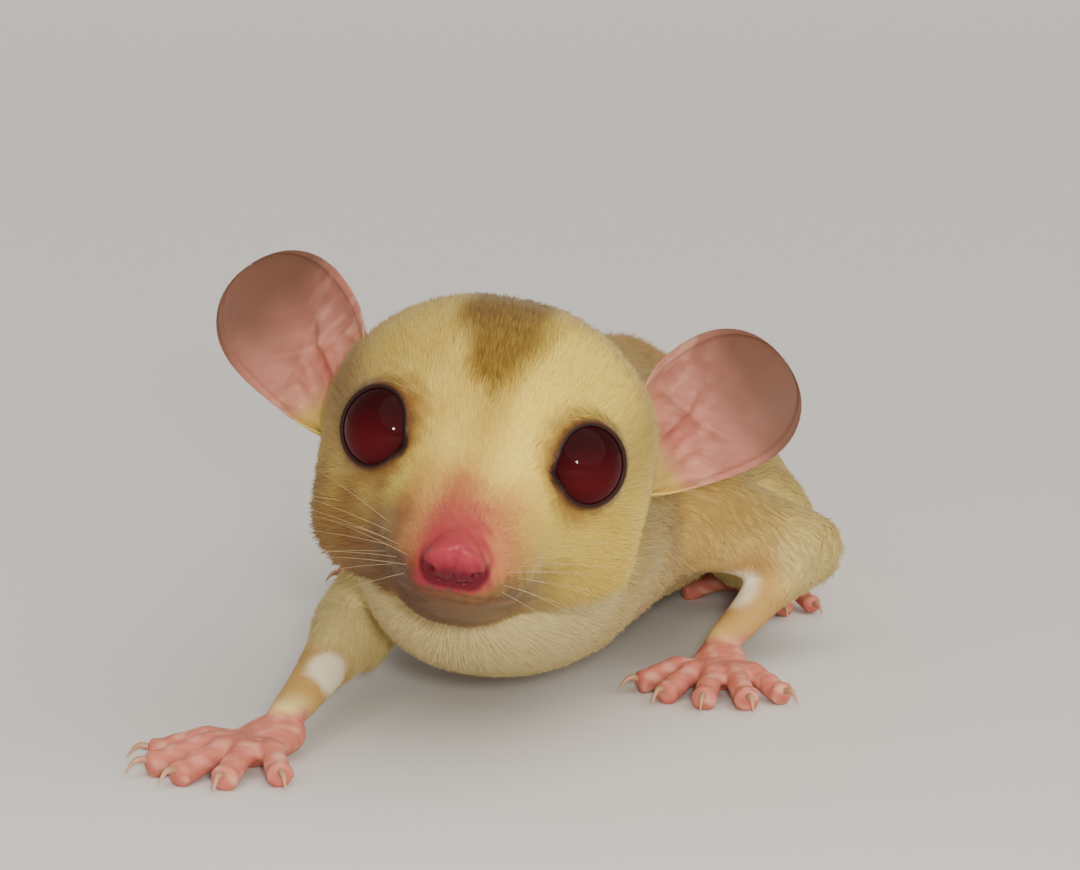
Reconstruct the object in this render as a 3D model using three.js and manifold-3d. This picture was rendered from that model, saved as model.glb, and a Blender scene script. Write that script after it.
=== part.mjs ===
// Sugar glider, a still life-size model crouched on all fours with its head raised.
// Millimetres, +Z up. The animal faces -Y, its left side is +X, and the floor is z = 0.
// The solids reach to the tips of the coat.
import * as THREE from 'three';
import { LoftGeometry } from 'three/addons/geometries/LoftGeometry.js';
import * as BufferGeometryUtils from 'three/addons/utils/BufferGeometryUtils.js';
import Module from 'manifold-3d';

const wasm = await Module();
wasm.setup();

// Driving dimensions
const GAP = 0.3;
const DEGREE = Math.PI / 180;

const HEAD_HEIGHT = 31;
const HEAD_YAW = 9 * DEGREE;
const HEAD_PITCH = 9 * DEGREE;
const HEAD_ROLL = 10 * DEGREE;

const EYE_RADIUS = 4.8;
const EYE_CENTRE = { side: 9.1, back: -6.2, up: 2.0 };

const EAR_BASE = new THREE.Vector3(15.4, 7.5, -0.8);
const EAR_TILT = 51 * DEGREE;
const EAR_LEAN = 20 * DEGREE;
const EAR_TURN = 12 * DEGREE;
const EAR_HEIGHT = 18.5;
const EAR_FOOT = 4.4;
const EAR_HALF_WIDTH = 8.1;
const EAR_DEPTH = 2.6;
const EAR_THICKNESS = 0.8;

const TAIL_LENGTHS = 4;

// Stations along the head, in the head's own frame: back from the skull's centre, height of the
// section's middle, half width, and reach above and below that middle
const HEAD_STATIONS = [
  { back: -22.6, mid: -4.0, half: 2.7, up: 2.6, down: 3.0 },
  { back: -20.0, mid: -4.8, half: 4.5, up: 4.1, down: 5.4 },
  { back: -16.4, mid: -5.2, half: 6.3, up: 6.3, down: 8.2 },
  { back: -12.2, mid: -4.6, half: 8.7, up: 8.8, down: 10.6 },
  { back: -8.0, mid: -3.4, half: 11.9, up: 11.2, down: 12.4 },
  { back: -3.0, mid: -2.6, half: 15.5, up: 14.4, down: 13.4 },
  { back: 3.5, mid: -2.0, half: 17.3, up: 16.0, down: 13.4 },
  { back: 10.0, mid: -1.8, half: 16.6, up: 15.0, down: 13.2 },
  { back: 16.0, mid: -1.8, half: 14.0, up: 12.0, down: 12.2 },
  { back: 20.5, mid: -1.8, half: 10.6, up: 9.0, down: 10.0 },
  { back: 24.0, mid: -1.8, half: 7.0, up: 6.0, down: 7.0 },
];

// Stations along the neck and trunk: the back dips behind the shoulders, arches over the loins
// and drops to the rump, and the loins curve towards the animal's right
const TRUNK_STATIONS = [
  { at: [-1.6, -6, 16.6], half: 15.0, up: 8.4, down: 14.2 },
  { at: [-2.2, 15, 18.8], half: 17.4, up: 12.0, down: 16.4 },
  { at: [-2.2, 33, 18.2], half: 18.8, up: 12.2, down: 15.6 },
  { at: [-2.4, 50, 17.0], half: 21.2, up: 13.4, down: 15.0 },
  { at: [-4.4, 66, 16.6], half: 22.4, up: 14.0, down: 14.8 },
  { at: [-6.8, 81, 16.2], half: 21.8, up: 14.0, down: 14.4 },
  { at: [-9.2, 94, 15.2], half: 18.8, up: 12.6, down: 13.0 },
  { at: [-11.2, 104, 14.0], half: 13.8, up: 10.4, down: 11.0 },
  { at: [-12.8, 112, 12.6], half: 8.6, up: 7.8, down: 8.4 },
];
const NECK_END = 1.75;

// Stations along the tail, which leaves the rump and lies on the floor
const TAIL_STATIONS = [
  { at: [-10.8, 102, 13.0], half: 6.8 },
  { at: [-14.0, 117, 10.8], half: 8.4 },
  { at: [-19.0, 136, 9.8], half: 10.2 },
  { at: [-25.2, 159, 10.2], half: 10.8 },
  { at: [-31.0, 184, 10.0], half: 10.6 },
  { at: [-35.2, 210, 9.1], half: 9.7 },
  { at: [-37.0, 235, 7.7], half: 8.2 },
  { at: [-36.6, 258, 5.5], half: 6.0 },
  { at: [-34.5, 278, 3.0], half: 3.4 },
];

// Joints of the four legs: shoulder, elbow, wrist, and hip, knee, ankle
const FORELEG = {
  right: { joints: [[-13, 30, 18], [-19, 14, 8], [-18.8, -8, 4.2]], turn: -30 * DEGREE },
  left: { joints: [[13, 34, 19], [25, 50, 12], [18.0, 34, 4.2]], turn: 6 * DEGREE },
};
const FORELEG_RADII = [8.6, 5.6, 2.7];
const HINDLEG = {
  right: { joints: [[-18.5, 86, 15.8], [-28.5, 67, 11.6], [-27, 92, 4.6]], turn: -18 * DEGREE },
  left: { joints: [[5.5, 84, 15.6], [16.8, 65, 11.2], [13.5, 90, 4.6]], turn: 12 * DEGREE },
};
const HINDLEG_RADII = [12.2, 8.8, 3.6];

// Digits of a forepaw, from the innermost: direction from straight ahead, length and radius
const FORE_DIGITS = [
  { turn: 60, length: 6.4, radius: 1.4 },
  { turn: 28, length: 8.0, radius: 1.45 },
  { turn: 4, length: 9.0, radius: 1.45 },
  { turn: -18, length: 9.2, radius: 1.45 },
  { turn: -42, length: 8.0, radius: 1.4 },
];
// Digits of a hind foot: the first is the thumb-like one with no claw, the next two are slim
const HIND_DIGITS = [
  { turn: 78, length: 7.6, radius: 1.55 },
  { turn: 15, length: 8.2, radius: 0.95 },
  { turn: 7, length: 8.6, radius: 0.95 },
  { turn: -6, length: 10.4, radius: 1.25 },
  { turn: -24, length: 9.4, radius: 1.2 },
];
// The fold of loose skin along each flank: where it starts and ends along the body, its height
// over the floor, half thickness, reach up and down, and how far it stands out of the flank
const FOLD = {
  start: { left: 50, right: 21 }, end: 64, steps: 4, height: 9.4, half: 3.4, reach: 5, proud: 0.6,
};
// A claw's length past the digit and its radius at the root
const CLAW_LENGTH = 1.7;
const CLAW_RADIUS = 0.5;

// One number carried smoothly along the stations: a Catmull-Rom blend at place t, in stations
function carried(values, t) {
  const last = values.length - 1;
  const step = Math.min(Math.max(Math.floor(t), 0), last - 1);
  const f = t - step;
  const a = values[Math.max(step - 1, 0)];
  const b = values[step];
  const c = values[step + 1];
  const d = values[Math.min(step + 2, last)];
  const bend = 2 * a - 5 * b + 4 * c - d;
  const twist = 3 * b - a - 3 * c + d;
  return 0.5 * (2 * b + (c - a) * f + bend * f * f + twist * f * f * f);
}

function centreAt(stations, t) {
  return new THREE.Vector3(...[0, 1, 2].map((axis) => carried(stations.map((s) => s.at[axis]), t)));
}

// A closed body whose section is carried along the stations from place `from` to place `to`.
// A section is an ellipse with its own reach up and down. A round end shrinks the section as
// a half ellipse does over the stretch `round` (in stations). `grow` widens the whole body.
function loftedBody(stations, options) {
  const { rings, sides, grow = 0, hint = new THREE.Vector3(0, 0, 1), relief } = options;
  const { from = 0, to = stations.length - 1, roundStart = 0, roundEnd = 0 } = options;
  const { flat = 2, flatBelow = flat } = options;
  const halves = stations.map((s) => s.half);
  const ups = stations.map((s) => s.up ?? s.half);
  const downs = stations.map((s) => s.down ?? s.half);
  const sections = [];
  for (let ring = 0; ring <= rings; ring++) {
    const share = ring / rings;
    const eased = (1 - Math.cos(Math.PI * share)) / 2;
    const crowd = roundStart && roundEnd ? 0.6 : 0;
    const t = from + (to - from) * (share * (1 - crowd) + eased * crowd);
    const centre = centreAt(stations, t);
    const ahead = centreAt(stations, t + 0.01).sub(centreAt(stations, t - 0.01)).normalize();
    const side = hint.clone().cross(ahead).normalize();
    const rise = ahead.clone().cross(side).normalize();
    const shrink = roundedEnd(t - from, roundStart) * roundedEnd(to - t, roundEnd);
    const sink = grow * (ring === 0 ? -1 : ring === rings ? 1 : 0);
    centre.addScaledVector(ahead, sink);
    const half = carried(halves, t) * shrink + grow;
    const up = carried(ups, t) * shrink + grow;
    const down = carried(downs, t) * shrink + grow;
    const points = [];
    for (let k = 0; k < sides; k++) {
      const angle = (2 * Math.PI * k) / sides;
      const above = Math.sin(angle) > 0;
      const power = above ? flat : flatBelow;
      const across = half * softSquare(Math.cos(angle), power);
      const high = (above ? up : down) * softSquare(Math.sin(angle), power);
      const point = centre.clone().addScaledVector(side, across).addScaledVector(rise, high);
      if (relief) point.add(relief(point, centre));
      points.push(point);
    }
    sections.push(points);
  }
  return new LoftGeometry(sections, { capStart: true, capEnd: true });
}

// Height of a half ellipse over its foot, never quite nothing so that the end still closes
function roundedEnd(distance, stretch) {
  if (stretch === 0 || distance >= stretch) return 1;
  const left = 1 - Math.max(distance, 0) / stretch;
  return Math.max(Math.sqrt(1 - left * left), 0.06);
}

// Cosine or sine of a section's angle, pushed towards a square as `power` rises above 2
function softSquare(value, power) {
  return Math.sign(value) * Math.abs(value) ** (2 / power);
}

// Booleans on closed geometries
function solidOf(geometry) {
  const bare = new THREE.BufferGeometry();
  bare.setAttribute('position', geometry.attributes.position);
  bare.setIndex(geometry.index);
  const merged = BufferGeometryUtils.mergeVertices(bare, 1e-4);
  const vertProperties = new Float32Array(merged.attributes.position.array);
  const triVerts = new Uint32Array(merged.index.array);
  return new wasm.Manifold(new wasm.Mesh({ numProp: 3, vertProperties, triVerts }));
}

function geometryOf(solid) {
  const mesh = solid.getMesh();
  const geometry = new THREE.BufferGeometry();
  geometry.setAttribute('position', new THREE.Float32BufferAttribute(mesh.vertProperties, mesh.numProp));
  geometry.setIndex(Array.from(mesh.triVerts));
  geometry.computeVertexNormals();
  return geometry;
}

function cut(geometry, ...others) {
  return geometryOf(others.reduce((solid, other) => solid.subtract(solidOf(other)), solidOf(geometry)));
}

function joined(...geometries) {
  return geometryOf(geometries.slice(1).reduce((solid, next) => solid.add(solidOf(next)), solidOf(geometries[0])));
}

// Everything under the floor, which flattens what rests on it
function underFloor() {
  const depth = 40;
  return new THREE.BoxGeometry(1000, 1000, depth).translate(0, 0, -depth / 2);
}

function finish(color, roughness) {
  return new THREE.MeshStandardMaterial({ color, roughness, metalness: 0 });
}

const fur = () => finish('#cdbe8c', 0.95);
const pinkSkin = () => finish('#c8827a', 0.6);
const earSkin = () => finish('#a5786e', 0.7);
const darkEye = () => finish('#3c1014', 0.05);
const horn = () => finish('#d8c8b4', 0.4);

function node(name, geometry, material) {
  const mesh = new THREE.Mesh(geometry, material);
  mesh.name = name;
  return mesh;
}

// Head frame: x to the animal's left, y back, z up, from the skull's centre
const headFrame = new THREE.Group();
headFrame.position.set(0, 0, HEAD_HEIGHT);
headFrame.rotation.set(HEAD_PITCH, HEAD_ROLL, HEAD_YAW, 'ZXY');
headFrame.updateMatrix();

// Swellings of the face, on both sides: where, how wide and how high
const FACE_SWELLINGS = [
  { at: [11.6, -3.5, -11.0], spread: 6.5, rise: 2.9 },
  { at: [5.0, -16.5, -6.2], spread: 3.0, rise: 0.9 },
  { at: [6.5, -8.5, 7.0], spread: 3.4, rise: 0.8 },
  { at: [0, -12.5, 3.6], spread: 3.2, rise: -0.3 },
];

function faceRelief(point, centre) {
  const outward = point.clone().sub(centre).setY(0).normalize();
  let rise = 0;
  for (const swelling of FACE_SWELLINGS) {
    const [x, y, z] = swelling.at;
    const away = new THREE.Vector3(Math.abs(point.x), point.y, point.z).distanceTo(new THREE.Vector3(x, y, z));
    rise += swelling.rise * Math.exp(-((away / swelling.spread) ** 2));
  }
  return outward.multiplyScalar(rise);
}

function headShape(grow = 0) {
  const stations = HEAD_STATIONS.map((s) => ({ at: [0, s.back, s.mid], half: s.half, up: s.up, down: s.down }));
  return loftedBody(stations, {
    rings: 17, sides: 22, grow, roundStart: 0.8, roundEnd: 2.2, flat: 2.15, flatBelow: 2.5,
    relief: faceRelief,
  });
}

function eyeShape(side, grow = 0) {
  const ball = new THREE.SphereGeometry(EYE_RADIUS + grow, 14, 9);
  return ball.translate(side * EYE_CENTRE.side, EYE_CENTRE.back, EYE_CENTRE.up);
}

function noseShape(grow = 0) {
  const stations = [
    { at: [0, -23.7, -4.6], half: 2.0, up: 1.5, down: 1.4 },
    { at: [0, -22.6, -4.2], half: 3.1, up: 2.6, down: 2.0 },
    { at: [0, -20.6, -3.2], half: 2.9, up: 2.9, down: 1.6 },
    { at: [0, -18.0, -1.6], half: 1.7, up: 2.1, down: 1.0 },
  ];
  return loftedBody(stations, { rings: 5, sides: 10, grow, roundStart: 0.9, roundEnd: 0.9 });
}

// An ear is a thin leaf bent into a cup. It rises `along` from its foot, spreads `across` and
// opens to the front, so `behind` is the cup's depth.
const EAR_ALONG = new THREE.Vector3(
  Math.sin(EAR_TILT) * Math.cos(EAR_LEAN), Math.sin(EAR_LEAN), Math.cos(EAR_TILT) * Math.cos(EAR_LEAN),
);
const EAR_BEHIND = new THREE.Vector3(0, 1, -0.33)
  .projectOnPlane(EAR_ALONG).normalize().applyAxisAngle(EAR_ALONG, EAR_TURN);
const EAR_ACROSS = EAR_BEHIND.clone().cross(EAR_ALONG);

// A point of the ear: `u` runs across from the inner to the outer edge (-1 to 1), `v` up it
// (0 to 1). The half width swells from the foot and closes in a blunt round outline, and the
// cup is nearly a tube at the foot and opens towards the tip.
function earPoint(side, u, v, lift) {
  const widest = 0.62 + 0.2 * u;
  const swell = EAR_FOOT + (EAR_HALF_WIDTH - EAR_FOOT) * Math.sin(Math.min(v / widest, 1) * (Math.PI / 2));
  const above = Math.max(v - 0.4, 0) / 0.6;
  const half = swell * Math.max(1 - above ** 2.8, 0.002) ** (1 / 2.2);
  const bend = (20 + 85 * (1 - v) ** 1.8) * DEGREE;
  const radius = half / Math.sin(Math.min(bend, Math.PI / 2));
  const across = (radius - lift) * Math.sin(u * bend);
  const behind = EAR_DEPTH - radius + (radius - lift) * Math.cos(u * bend);
  const shear = 0.05 * (across / EAR_HALF_WIDTH) * v;
  const point = EAR_BASE.clone()
    .addScaledVector(EAR_ACROSS, across)
    .addScaledVector(EAR_BEHIND, behind)
    .addScaledVector(EAR_ALONG, EAR_HEIGHT * (v + shear));
  return new THREE.Vector3(side * point.x, point.y, point.z);
}

function earShape(side) {
  const rows = 8;
  const columns = 8;
  const sections = [];
  for (let row = 0; row <= rows; row++) {
    const v = Math.min(row / rows, 0.995);
    const ring = [];
    for (let k = 0; k <= columns; k++) ring.push(earPoint(side, (2 * k) / columns - 1, v, 0));
    for (let k = columns; k >= 0; k--) ring.push(earPoint(side, (2 * k) / columns - 1, v, EAR_THICKNESS));
    sections.push(side > 0 ? ring.reverse() : ring);
  }
  return new LoftGeometry(sections, { capStart: true, capEnd: true });
}

// Trunk, neck and tail
const trunkShape = (grow = 0) =>
  loftedBody(TRUNK_STATIONS, {
    rings: 15, sides: 20, grow, from: NECK_END, roundEnd: 1.6, flat: 2.3,
  });
const neckShape = () =>
  loftedBody(TRUNK_STATIONS, {
    rings: 6, sides: 20, from: 0, to: NECK_END - 0.03, roundStart: 0.9, flat: 2.3,
  });

function tailShape(length) {
  const whole = TAIL_STATIONS.length - 1;
  const from = (whole * length) / TAIL_LENGTHS;
  const to = (whole * (length + 1)) / TAIL_LENGTHS;
  const slit = 0.012;
  const last = length === TAIL_LENGTHS - 1;
  return loftedBody(TAIL_STATIONS, {
    rings: 5, sides: 14, from: length === 0 ? from : from + slit / 2, to: last ? to : to - slit / 2,
    roundEnd: last ? 0.9 : 0,
  });
}

// One length of a leg, tapering from joint to joint and rounded past both of them
function legLength(near, far, nearRadius, farRadius, grow) {
  const [a, b] = [new THREE.Vector3(...near), new THREE.Vector3(...far)];
  const ahead = b.clone().sub(a).normalize();
  const places = [
    [a.clone().addScaledVector(ahead, -nearRadius * 0.7), nearRadius],
    [a.clone().lerp(b, 0.1), nearRadius],
    [a.clone().lerp(b, 0.55), nearRadius * 0.5 + farRadius * 0.46],
    [b.clone(), farRadius],
    [b.clone().addScaledVector(ahead, farRadius * 0.6), farRadius],
  ];
  const stations = places.map(([at, half]) => ({ at: at.toArray(), half }));
  const hint = new THREE.Vector3(1, 0, 0);
  return loftedBody(stations, { rings: 5, sides: 10, grow, hint, roundStart: 1, roundEnd: 1 });
}

// A leg is two lengths joined at the elbow or knee
function legShape(joints, radii, grow = 0) {
  const [top, middle, low] = joints;
  const upper = legLength(top, middle, radii[0], radii[1], grow);
  const lower = legLength(middle, low, radii[1] * 0.94, radii[2], grow);
  return joined(upper, lower);
}

// A paw or foot in its own frame: wrist or heel at the origin, digits towards -y, sole on z = 0.
// `inner` is +1 when the animal's middle is on the paw's +x side.
function digitShape(digit, root, inner) {
  const angle = digit.turn * DEGREE * inner;
  const ahead = [Math.sin(angle), -Math.cos(angle)];
  const out = (share, height) => [
    root[0] + ahead[0] * digit.length * share, root[1] + ahead[1] * digit.length * share, height,
  ];
  const stations = [
    { at: out(-0.2, 1.9), half: digit.radius * 1.05 },
    { at: out(0.25, 2.5), half: digit.radius * 1.0 },
    { at: out(0.62, 2.0), half: digit.radius * 0.85 },
    { at: out(1.0, digit.radius * 0.85), half: digit.radius },
  ];
  return loftedBody(stations, { rings: 4, sides: 6, roundStart: 0.4, roundEnd: 0.4 });
}

function digitRoot(digit, paw, inner) {
  const angle = digit.turn * DEGREE * inner * 0.9;
  return [Math.sin(angle) * paw.halfPalm, -paw.palm + paw.halfPalm * (1 - Math.cos(angle)) * 0.6];
}

const FOREPAW = { digits: FORE_DIGITS, palm: 5.8, halfPalm: 3.7, heel: 2.6 };
const HINDFOOT = { digits: HIND_DIGITS, palm: 15, halfPalm: 3.7, heel: 3.4 };

function pawShape(paw, inner) {
  const stations = [
    { at: [0, 1.5, paw.heel * 1.1], half: paw.heel * 0.9 },
    { at: [0, -paw.palm * 0.35, 2.4], half: paw.halfPalm * 0.86, up: 2.3, down: 2.5 },
    { at: [0, -paw.palm * 0.75, 2.0], half: paw.halfPalm, up: 1.7, down: 2.2 },
    { at: [0, -paw.palm - 1.2, 1.8], half: paw.halfPalm * 0.8, up: 1.2, down: 2.0 },
  ];
  const palm = loftedBody(stations, { rings: 4, sides: 10, roundStart: 0.5, roundEnd: 0.6 });
  const digits = paw.digits.map((digit) => digitShape(digit, digitRoot(digit, paw, inner), inner));
  return joined(palm, ...digits);
}

// A curved tapering claw beyond the end of its digit
function clawShape(digit, paw, inner) {
  const root = digitRoot(digit, paw, inner);
  const angle = digit.turn * DEGREE * inner;
  const reach = (extra) => [
    root[0] + Math.sin(angle) * (digit.length + extra), root[1] - Math.cos(angle) * (digit.length + extra),
  ];
  const start = digit.radius * 0.35 + GAP;
  const stations = [
    { at: [...reach(start), digit.radius * 1.15], half: CLAW_RADIUS * 0.9 },
    { at: [...reach(start + CLAW_LENGTH * 0.5), digit.radius * 1.1], half: CLAW_RADIUS * 0.75 },
    { at: [...reach(start + CLAW_LENGTH), digit.radius * 0.45], half: CLAW_RADIUS * 0.3 },
  ];
  return loftedBody(stations, { rings: 2, sides: 5 });
}

function pawPlace(limb) {
  const [x, y] = limb.joints[2];
  return new THREE.Matrix4().makeRotationZ(limb.turn).setPosition(x, y, 0);
}

// The loose gliding membrane, gathered in a furry fold along the flank from elbow to knee
function flankFold(side) {
  const start = FOLD.start[side > 0 ? 'left' : 'right'];
  const stations = [];
  for (let step = 0; step <= FOLD.steps; step++) {
    const back = start + ((FOLD.end - start) * step) / FOLD.steps;
    const place = placeAlong(TRUNK_STATIONS, back);
    const middle = centreAt(TRUNK_STATIONS, place).x;
    const flank = carried(TRUNK_STATIONS.map((s) => s.half), place);
    stations.push({ at: [middle + side * (flank + FOLD.proud), back, FOLD.height], half: FOLD.half, up: FOLD.reach });
  }
  return loftedBody(stations, { rings: 6, sides: 8, roundStart: 1.2, roundEnd: 1.2 });
}

// The place along the stations, in stations, whose middle lies `back` along the body
function placeAlong(stations, back) {
  const next = stations.findIndex((s) => s.at[1] > back);
  const [near, far] = [stations[next - 1].at[1], stations[next].at[1]];
  return next - 1 + (back - near) / (far - near);
}

// Assembly
const glider = new THREE.Group();
glider.add(headFrame);

const noseHole = noseShape(GAP);
const head = cut(headShape(), eyeShape(1, GAP), eyeShape(-1, GAP), noseHole);
headFrame.add(node('head', head, fur()));
headFrame.add(node('nose', noseShape(), pinkSkin()));
for (const [name, side] of [['left', 1], ['right', -1]]) {
  headFrame.add(node(`eye_${name}`, eyeShape(side), darkEye()));
  headFrame.add(node(`ear_${name}`, cut(earShape(side), headShape(GAP)), earSkin()));
}

const headInBody = headShape(GAP).applyMatrix4(headFrame.matrix);
const trunk = trunkShape();
glider.add(node('neck', cut(neckShape(), headInBody), fur()));
glider.add(node('trunk', trunk, fur()));

const floor = underFloor();
const trunkAround = trunkShape(GAP);
const neckAround = neckShape();
for (const [name, side] of [['left', 1], ['right', -1]]) {
  const fore = FORELEG[name];
  const hind = HINDLEG[name];
  const inner = -side;
  const foreleg = cut(legShape(fore.joints, FORELEG_RADII), trunkAround, neckAround, floor);
  const hindleg = cut(legShape(hind.joints, HINDLEG_RADII), trunkAround, floor);
  glider.add(node(`foreleg_${name}`, foreleg, fur()));
  glider.add(node(`hindleg_${name}`, hindleg, fur()));
  const foreAround = legShape(fore.joints, FORELEG_RADII, GAP);
  const hindAround = legShape(hind.joints, HINDLEG_RADII, GAP);
  const forepaw = pawShape(FOREPAW, inner).applyMatrix4(pawPlace(fore));
  const hindfoot = pawShape(HINDFOOT, inner).applyMatrix4(pawPlace(hind));
  glider.add(node(`forepaw_${name}`, cut(forepaw, foreAround, floor), pinkSkin()));
  glider.add(node(`hindfoot_${name}`, cut(hindfoot, hindAround, floor), pinkSkin()));
  const fold = cut(flankFold(side), trunkAround, foreAround, hindAround);
  glider.add(node(`flank_fold_${name}`, fold, fur()));
  FORE_DIGITS.forEach((digit, index) => {
    const claw = clawShape(digit, FOREPAW, inner).applyMatrix4(pawPlace(fore));
    glider.add(node(`fore_claw_${name}_${index + 1}`, claw, horn()));
  });
  HIND_DIGITS.slice(1).forEach((digit, index) => {
    const claw = clawShape(digit, HINDFOOT, inner).applyMatrix4(pawPlace(hind));
    glider.add(node(`hind_claw_${name}_${index + 2}`, claw, horn()));
  });
}
for (let length = 0; length < TAIL_LENGTHS; length++) {
  const piece = length === 0 ? cut(tailShape(0), trunkAround, floor) : cut(tailShape(length), floor);
  glider.add(node(`tail_${length + 1}`, piece, fur()));
}

// The origin is on the floor under the middle of the model
const extent = new THREE.Box3().setFromObject(glider, true);
glider.position.set(-(extent.min.x + extent.max.x) / 2, -(extent.min.y + extent.max.y) / 2, 0);

export default glider;
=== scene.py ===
"""A life-size sugar glider: one skin, a coat of solid tufts, eyes, claws and whiskers, on a pale floor."""
import functools

import bpy
import numpy as np
from mathutils import Matrix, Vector
from mathutils.bvhtree import BVHTree


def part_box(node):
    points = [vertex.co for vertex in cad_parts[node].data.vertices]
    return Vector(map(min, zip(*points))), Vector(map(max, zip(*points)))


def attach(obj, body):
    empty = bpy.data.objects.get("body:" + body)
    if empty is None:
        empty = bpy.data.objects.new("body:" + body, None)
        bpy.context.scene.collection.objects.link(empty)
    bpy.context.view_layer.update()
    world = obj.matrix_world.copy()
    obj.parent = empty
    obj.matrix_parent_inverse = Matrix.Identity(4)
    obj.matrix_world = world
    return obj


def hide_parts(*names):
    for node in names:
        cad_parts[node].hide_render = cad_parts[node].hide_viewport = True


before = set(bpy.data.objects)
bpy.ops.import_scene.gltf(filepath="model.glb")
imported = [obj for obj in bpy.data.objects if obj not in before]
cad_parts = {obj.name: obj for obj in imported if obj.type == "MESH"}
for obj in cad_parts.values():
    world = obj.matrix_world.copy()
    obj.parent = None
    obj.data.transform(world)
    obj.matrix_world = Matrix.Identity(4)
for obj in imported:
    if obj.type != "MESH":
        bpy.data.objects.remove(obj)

bl_info = {
    "name": "Sugar Glider",
    "version": (1, 0, 0),
    "blender": (4, 5, 0),
    "location": "3D View > Sidebar > Glider",
    "description": "Makes a life-size sugar glider with its coat, eyes, claws and whiskers",
    "category": "Add Mesh",
}

# Shapes are worked out in millimetres and put into meshes in metres.
MM = 0.001
DEGREE = np.pi / 180
UP = np.array([0.0, 0.0, 1.0])
SIDES = {"left": 1, "right": -1}

# Frame of the head: x to the animal's left, y back and z up, from the skull's centre
HEAD_HEIGHT = 31.0
HEAD_YAW = 9 * DEGREE
HEAD_PITCH = 9 * DEGREE
HEAD_ROLL = 10 * DEGREE
EYE_BACK = -6.2
EYE_UP = 2.0
EYE_RADIUS = 4.8

# Stations: the section's middle, half width, and reach above and below the middle
HEAD_STATIONS = [
    ((0, -22.6, -4.0), 2.7, 2.6, 3.0),
    ((0, -20.0, -4.8), 4.5, 4.1, 5.4),
    ((0, -16.4, -5.2), 6.3, 6.3, 8.2),
    ((0, -12.2, -4.6), 8.7, 8.8, 10.6),
    ((0, -8.0, -3.4), 11.9, 11.2, 12.4),
    ((0, -3.0, -2.6), 15.5, 14.4, 13.4),
    ((0, 3.5, -2.0), 17.3, 16.0, 13.4),
    ((0, 10.0, -1.8), 16.6, 15.0, 13.2),
    ((0, 16.0, -1.8), 14.0, 12.0, 12.2),
    ((0, 20.5, -1.8), 10.6, 9.0, 10.0),
    ((0, 24.0, -1.8), 7.0, 6.0, 7.0),
]
NOSE_STATIONS = [
    ((0, -23.7, -4.6), 2.0, 1.5, 1.4),
    ((0, -22.6, -4.2), 3.1, 2.6, 2.0),
    ((0, -20.6, -3.2), 2.9, 2.9, 1.6),
    ((0, -18.0, -1.6), 1.7, 2.1, 1.0),
]
TRUNK_STATIONS = [
    ((-1.6, -6, 16.6), 15.0, 8.4, 14.2),
    ((-2.2, 15, 18.8), 17.4, 12.0, 16.4),
    ((-2.2, 33, 18.2), 18.8, 12.2, 15.6),
    ((-2.4, 50, 17.0), 21.2, 13.4, 15.0),
    ((-4.4, 66, 16.6), 22.4, 14.0, 14.8),
    ((-6.8, 81, 16.2), 21.8, 14.0, 14.4),
    ((-9.2, 94, 15.2), 18.8, 12.6, 13.0),
    ((-11.2, 104, 14.0), 13.8, 10.4, 11.0),
    ((-12.8, 112, 12.6), 8.6, 7.8, 8.4),
]
TAIL_STATIONS = [
    ((-10.8, 102, 13.0), 6.8),
    ((-14.0, 117, 10.8), 8.4),
    ((-19.0, 136, 9.8), 10.2),
    ((-25.2, 159, 10.2), 10.8),
    ((-31.0, 184, 10.0), 10.6),
    ((-35.2, 210, 9.1), 9.7),
    ((-37.0, 235, 7.7), 8.2),
    ((-36.6, 258, 5.5), 6.0),
    ((-34.5, 278, 3.0), 3.4),
]
# Shoulder, elbow, wrist and hip, knee, ankle, with the way the paw is turned
LEGS = {
    ("fore", "right"): (((-13, 30, 18), (-19, 14, 8), (-18.8, -8, 4.2)), -30 * DEGREE),
    ("fore", "left"): (((13, 34, 19), (25, 50, 12), (18.0, 34, 4.2)), 6 * DEGREE),
    ("hind", "right"): (((-18.5, 86, 15.8), (-28.5, 67, 11.6), (-27, 92, 4.6)), -18 * DEGREE),
    ("hind", "left"): (((5.5, 84, 15.6), (16.8, 65, 11.2), (13.5, 90, 4.6)), 12 * DEGREE),
}
LEG_RADII = {"fore": (8.6, 5.6, 2.7), "hind": (12.2, 8.8, 3.6)}
# Each digit from the innermost: direction from straight ahead in degrees, length and radius
DIGITS = {
    "fore": ((60, 6.4, 1.4), (28, 8.0, 1.45), (4, 9.0, 1.45), (-18, 9.2, 1.45), (-42, 8.0, 1.4)),
    "hind": ((78, 7.6, 1.55), (15, 8.2, 0.95), (7, 8.6, 0.95), (-6, 10.4, 1.25), (-24, 9.4, 1.2)),
}
PALMS = {"fore": (5.8, 3.7, 2.6), "hind": (15.0, 3.7, 3.4)}
CLAW_LENGTH = 1.7
CLAW_RADIUS = 0.5
FOLD_ENDS = {"left": (50, 64), "right": (21, 64)}

EAR_BASE = np.array([15.4, 7.5, -0.8])
EAR_TILT = 51 * DEGREE
EAR_LEAN = 20 * DEGREE
EAR_TURN = 12 * DEGREE
EAR_HEIGHT = 18.5
EAR_FOOT = 4.4
EAR_HALF_WIDTH = 8.1
EAR_DEPTH = 2.6


def srgb(red, green, blue):
    """A colour as seen on a screen, 0 to 255, as the linear numbers that a shader takes."""
    seen = np.array([red, green, blue]) / 255
    return tuple(np.where(seen <= 0.04045, seen / 12.92, ((seen + 0.055) / 1.055) ** 2.4))


def unit(vectors):
    """Vectors brought to a length of 1."""
    return vectors / np.maximum(np.linalg.norm(vectors, axis=-1, keepdims=True), 1e-12)


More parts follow.
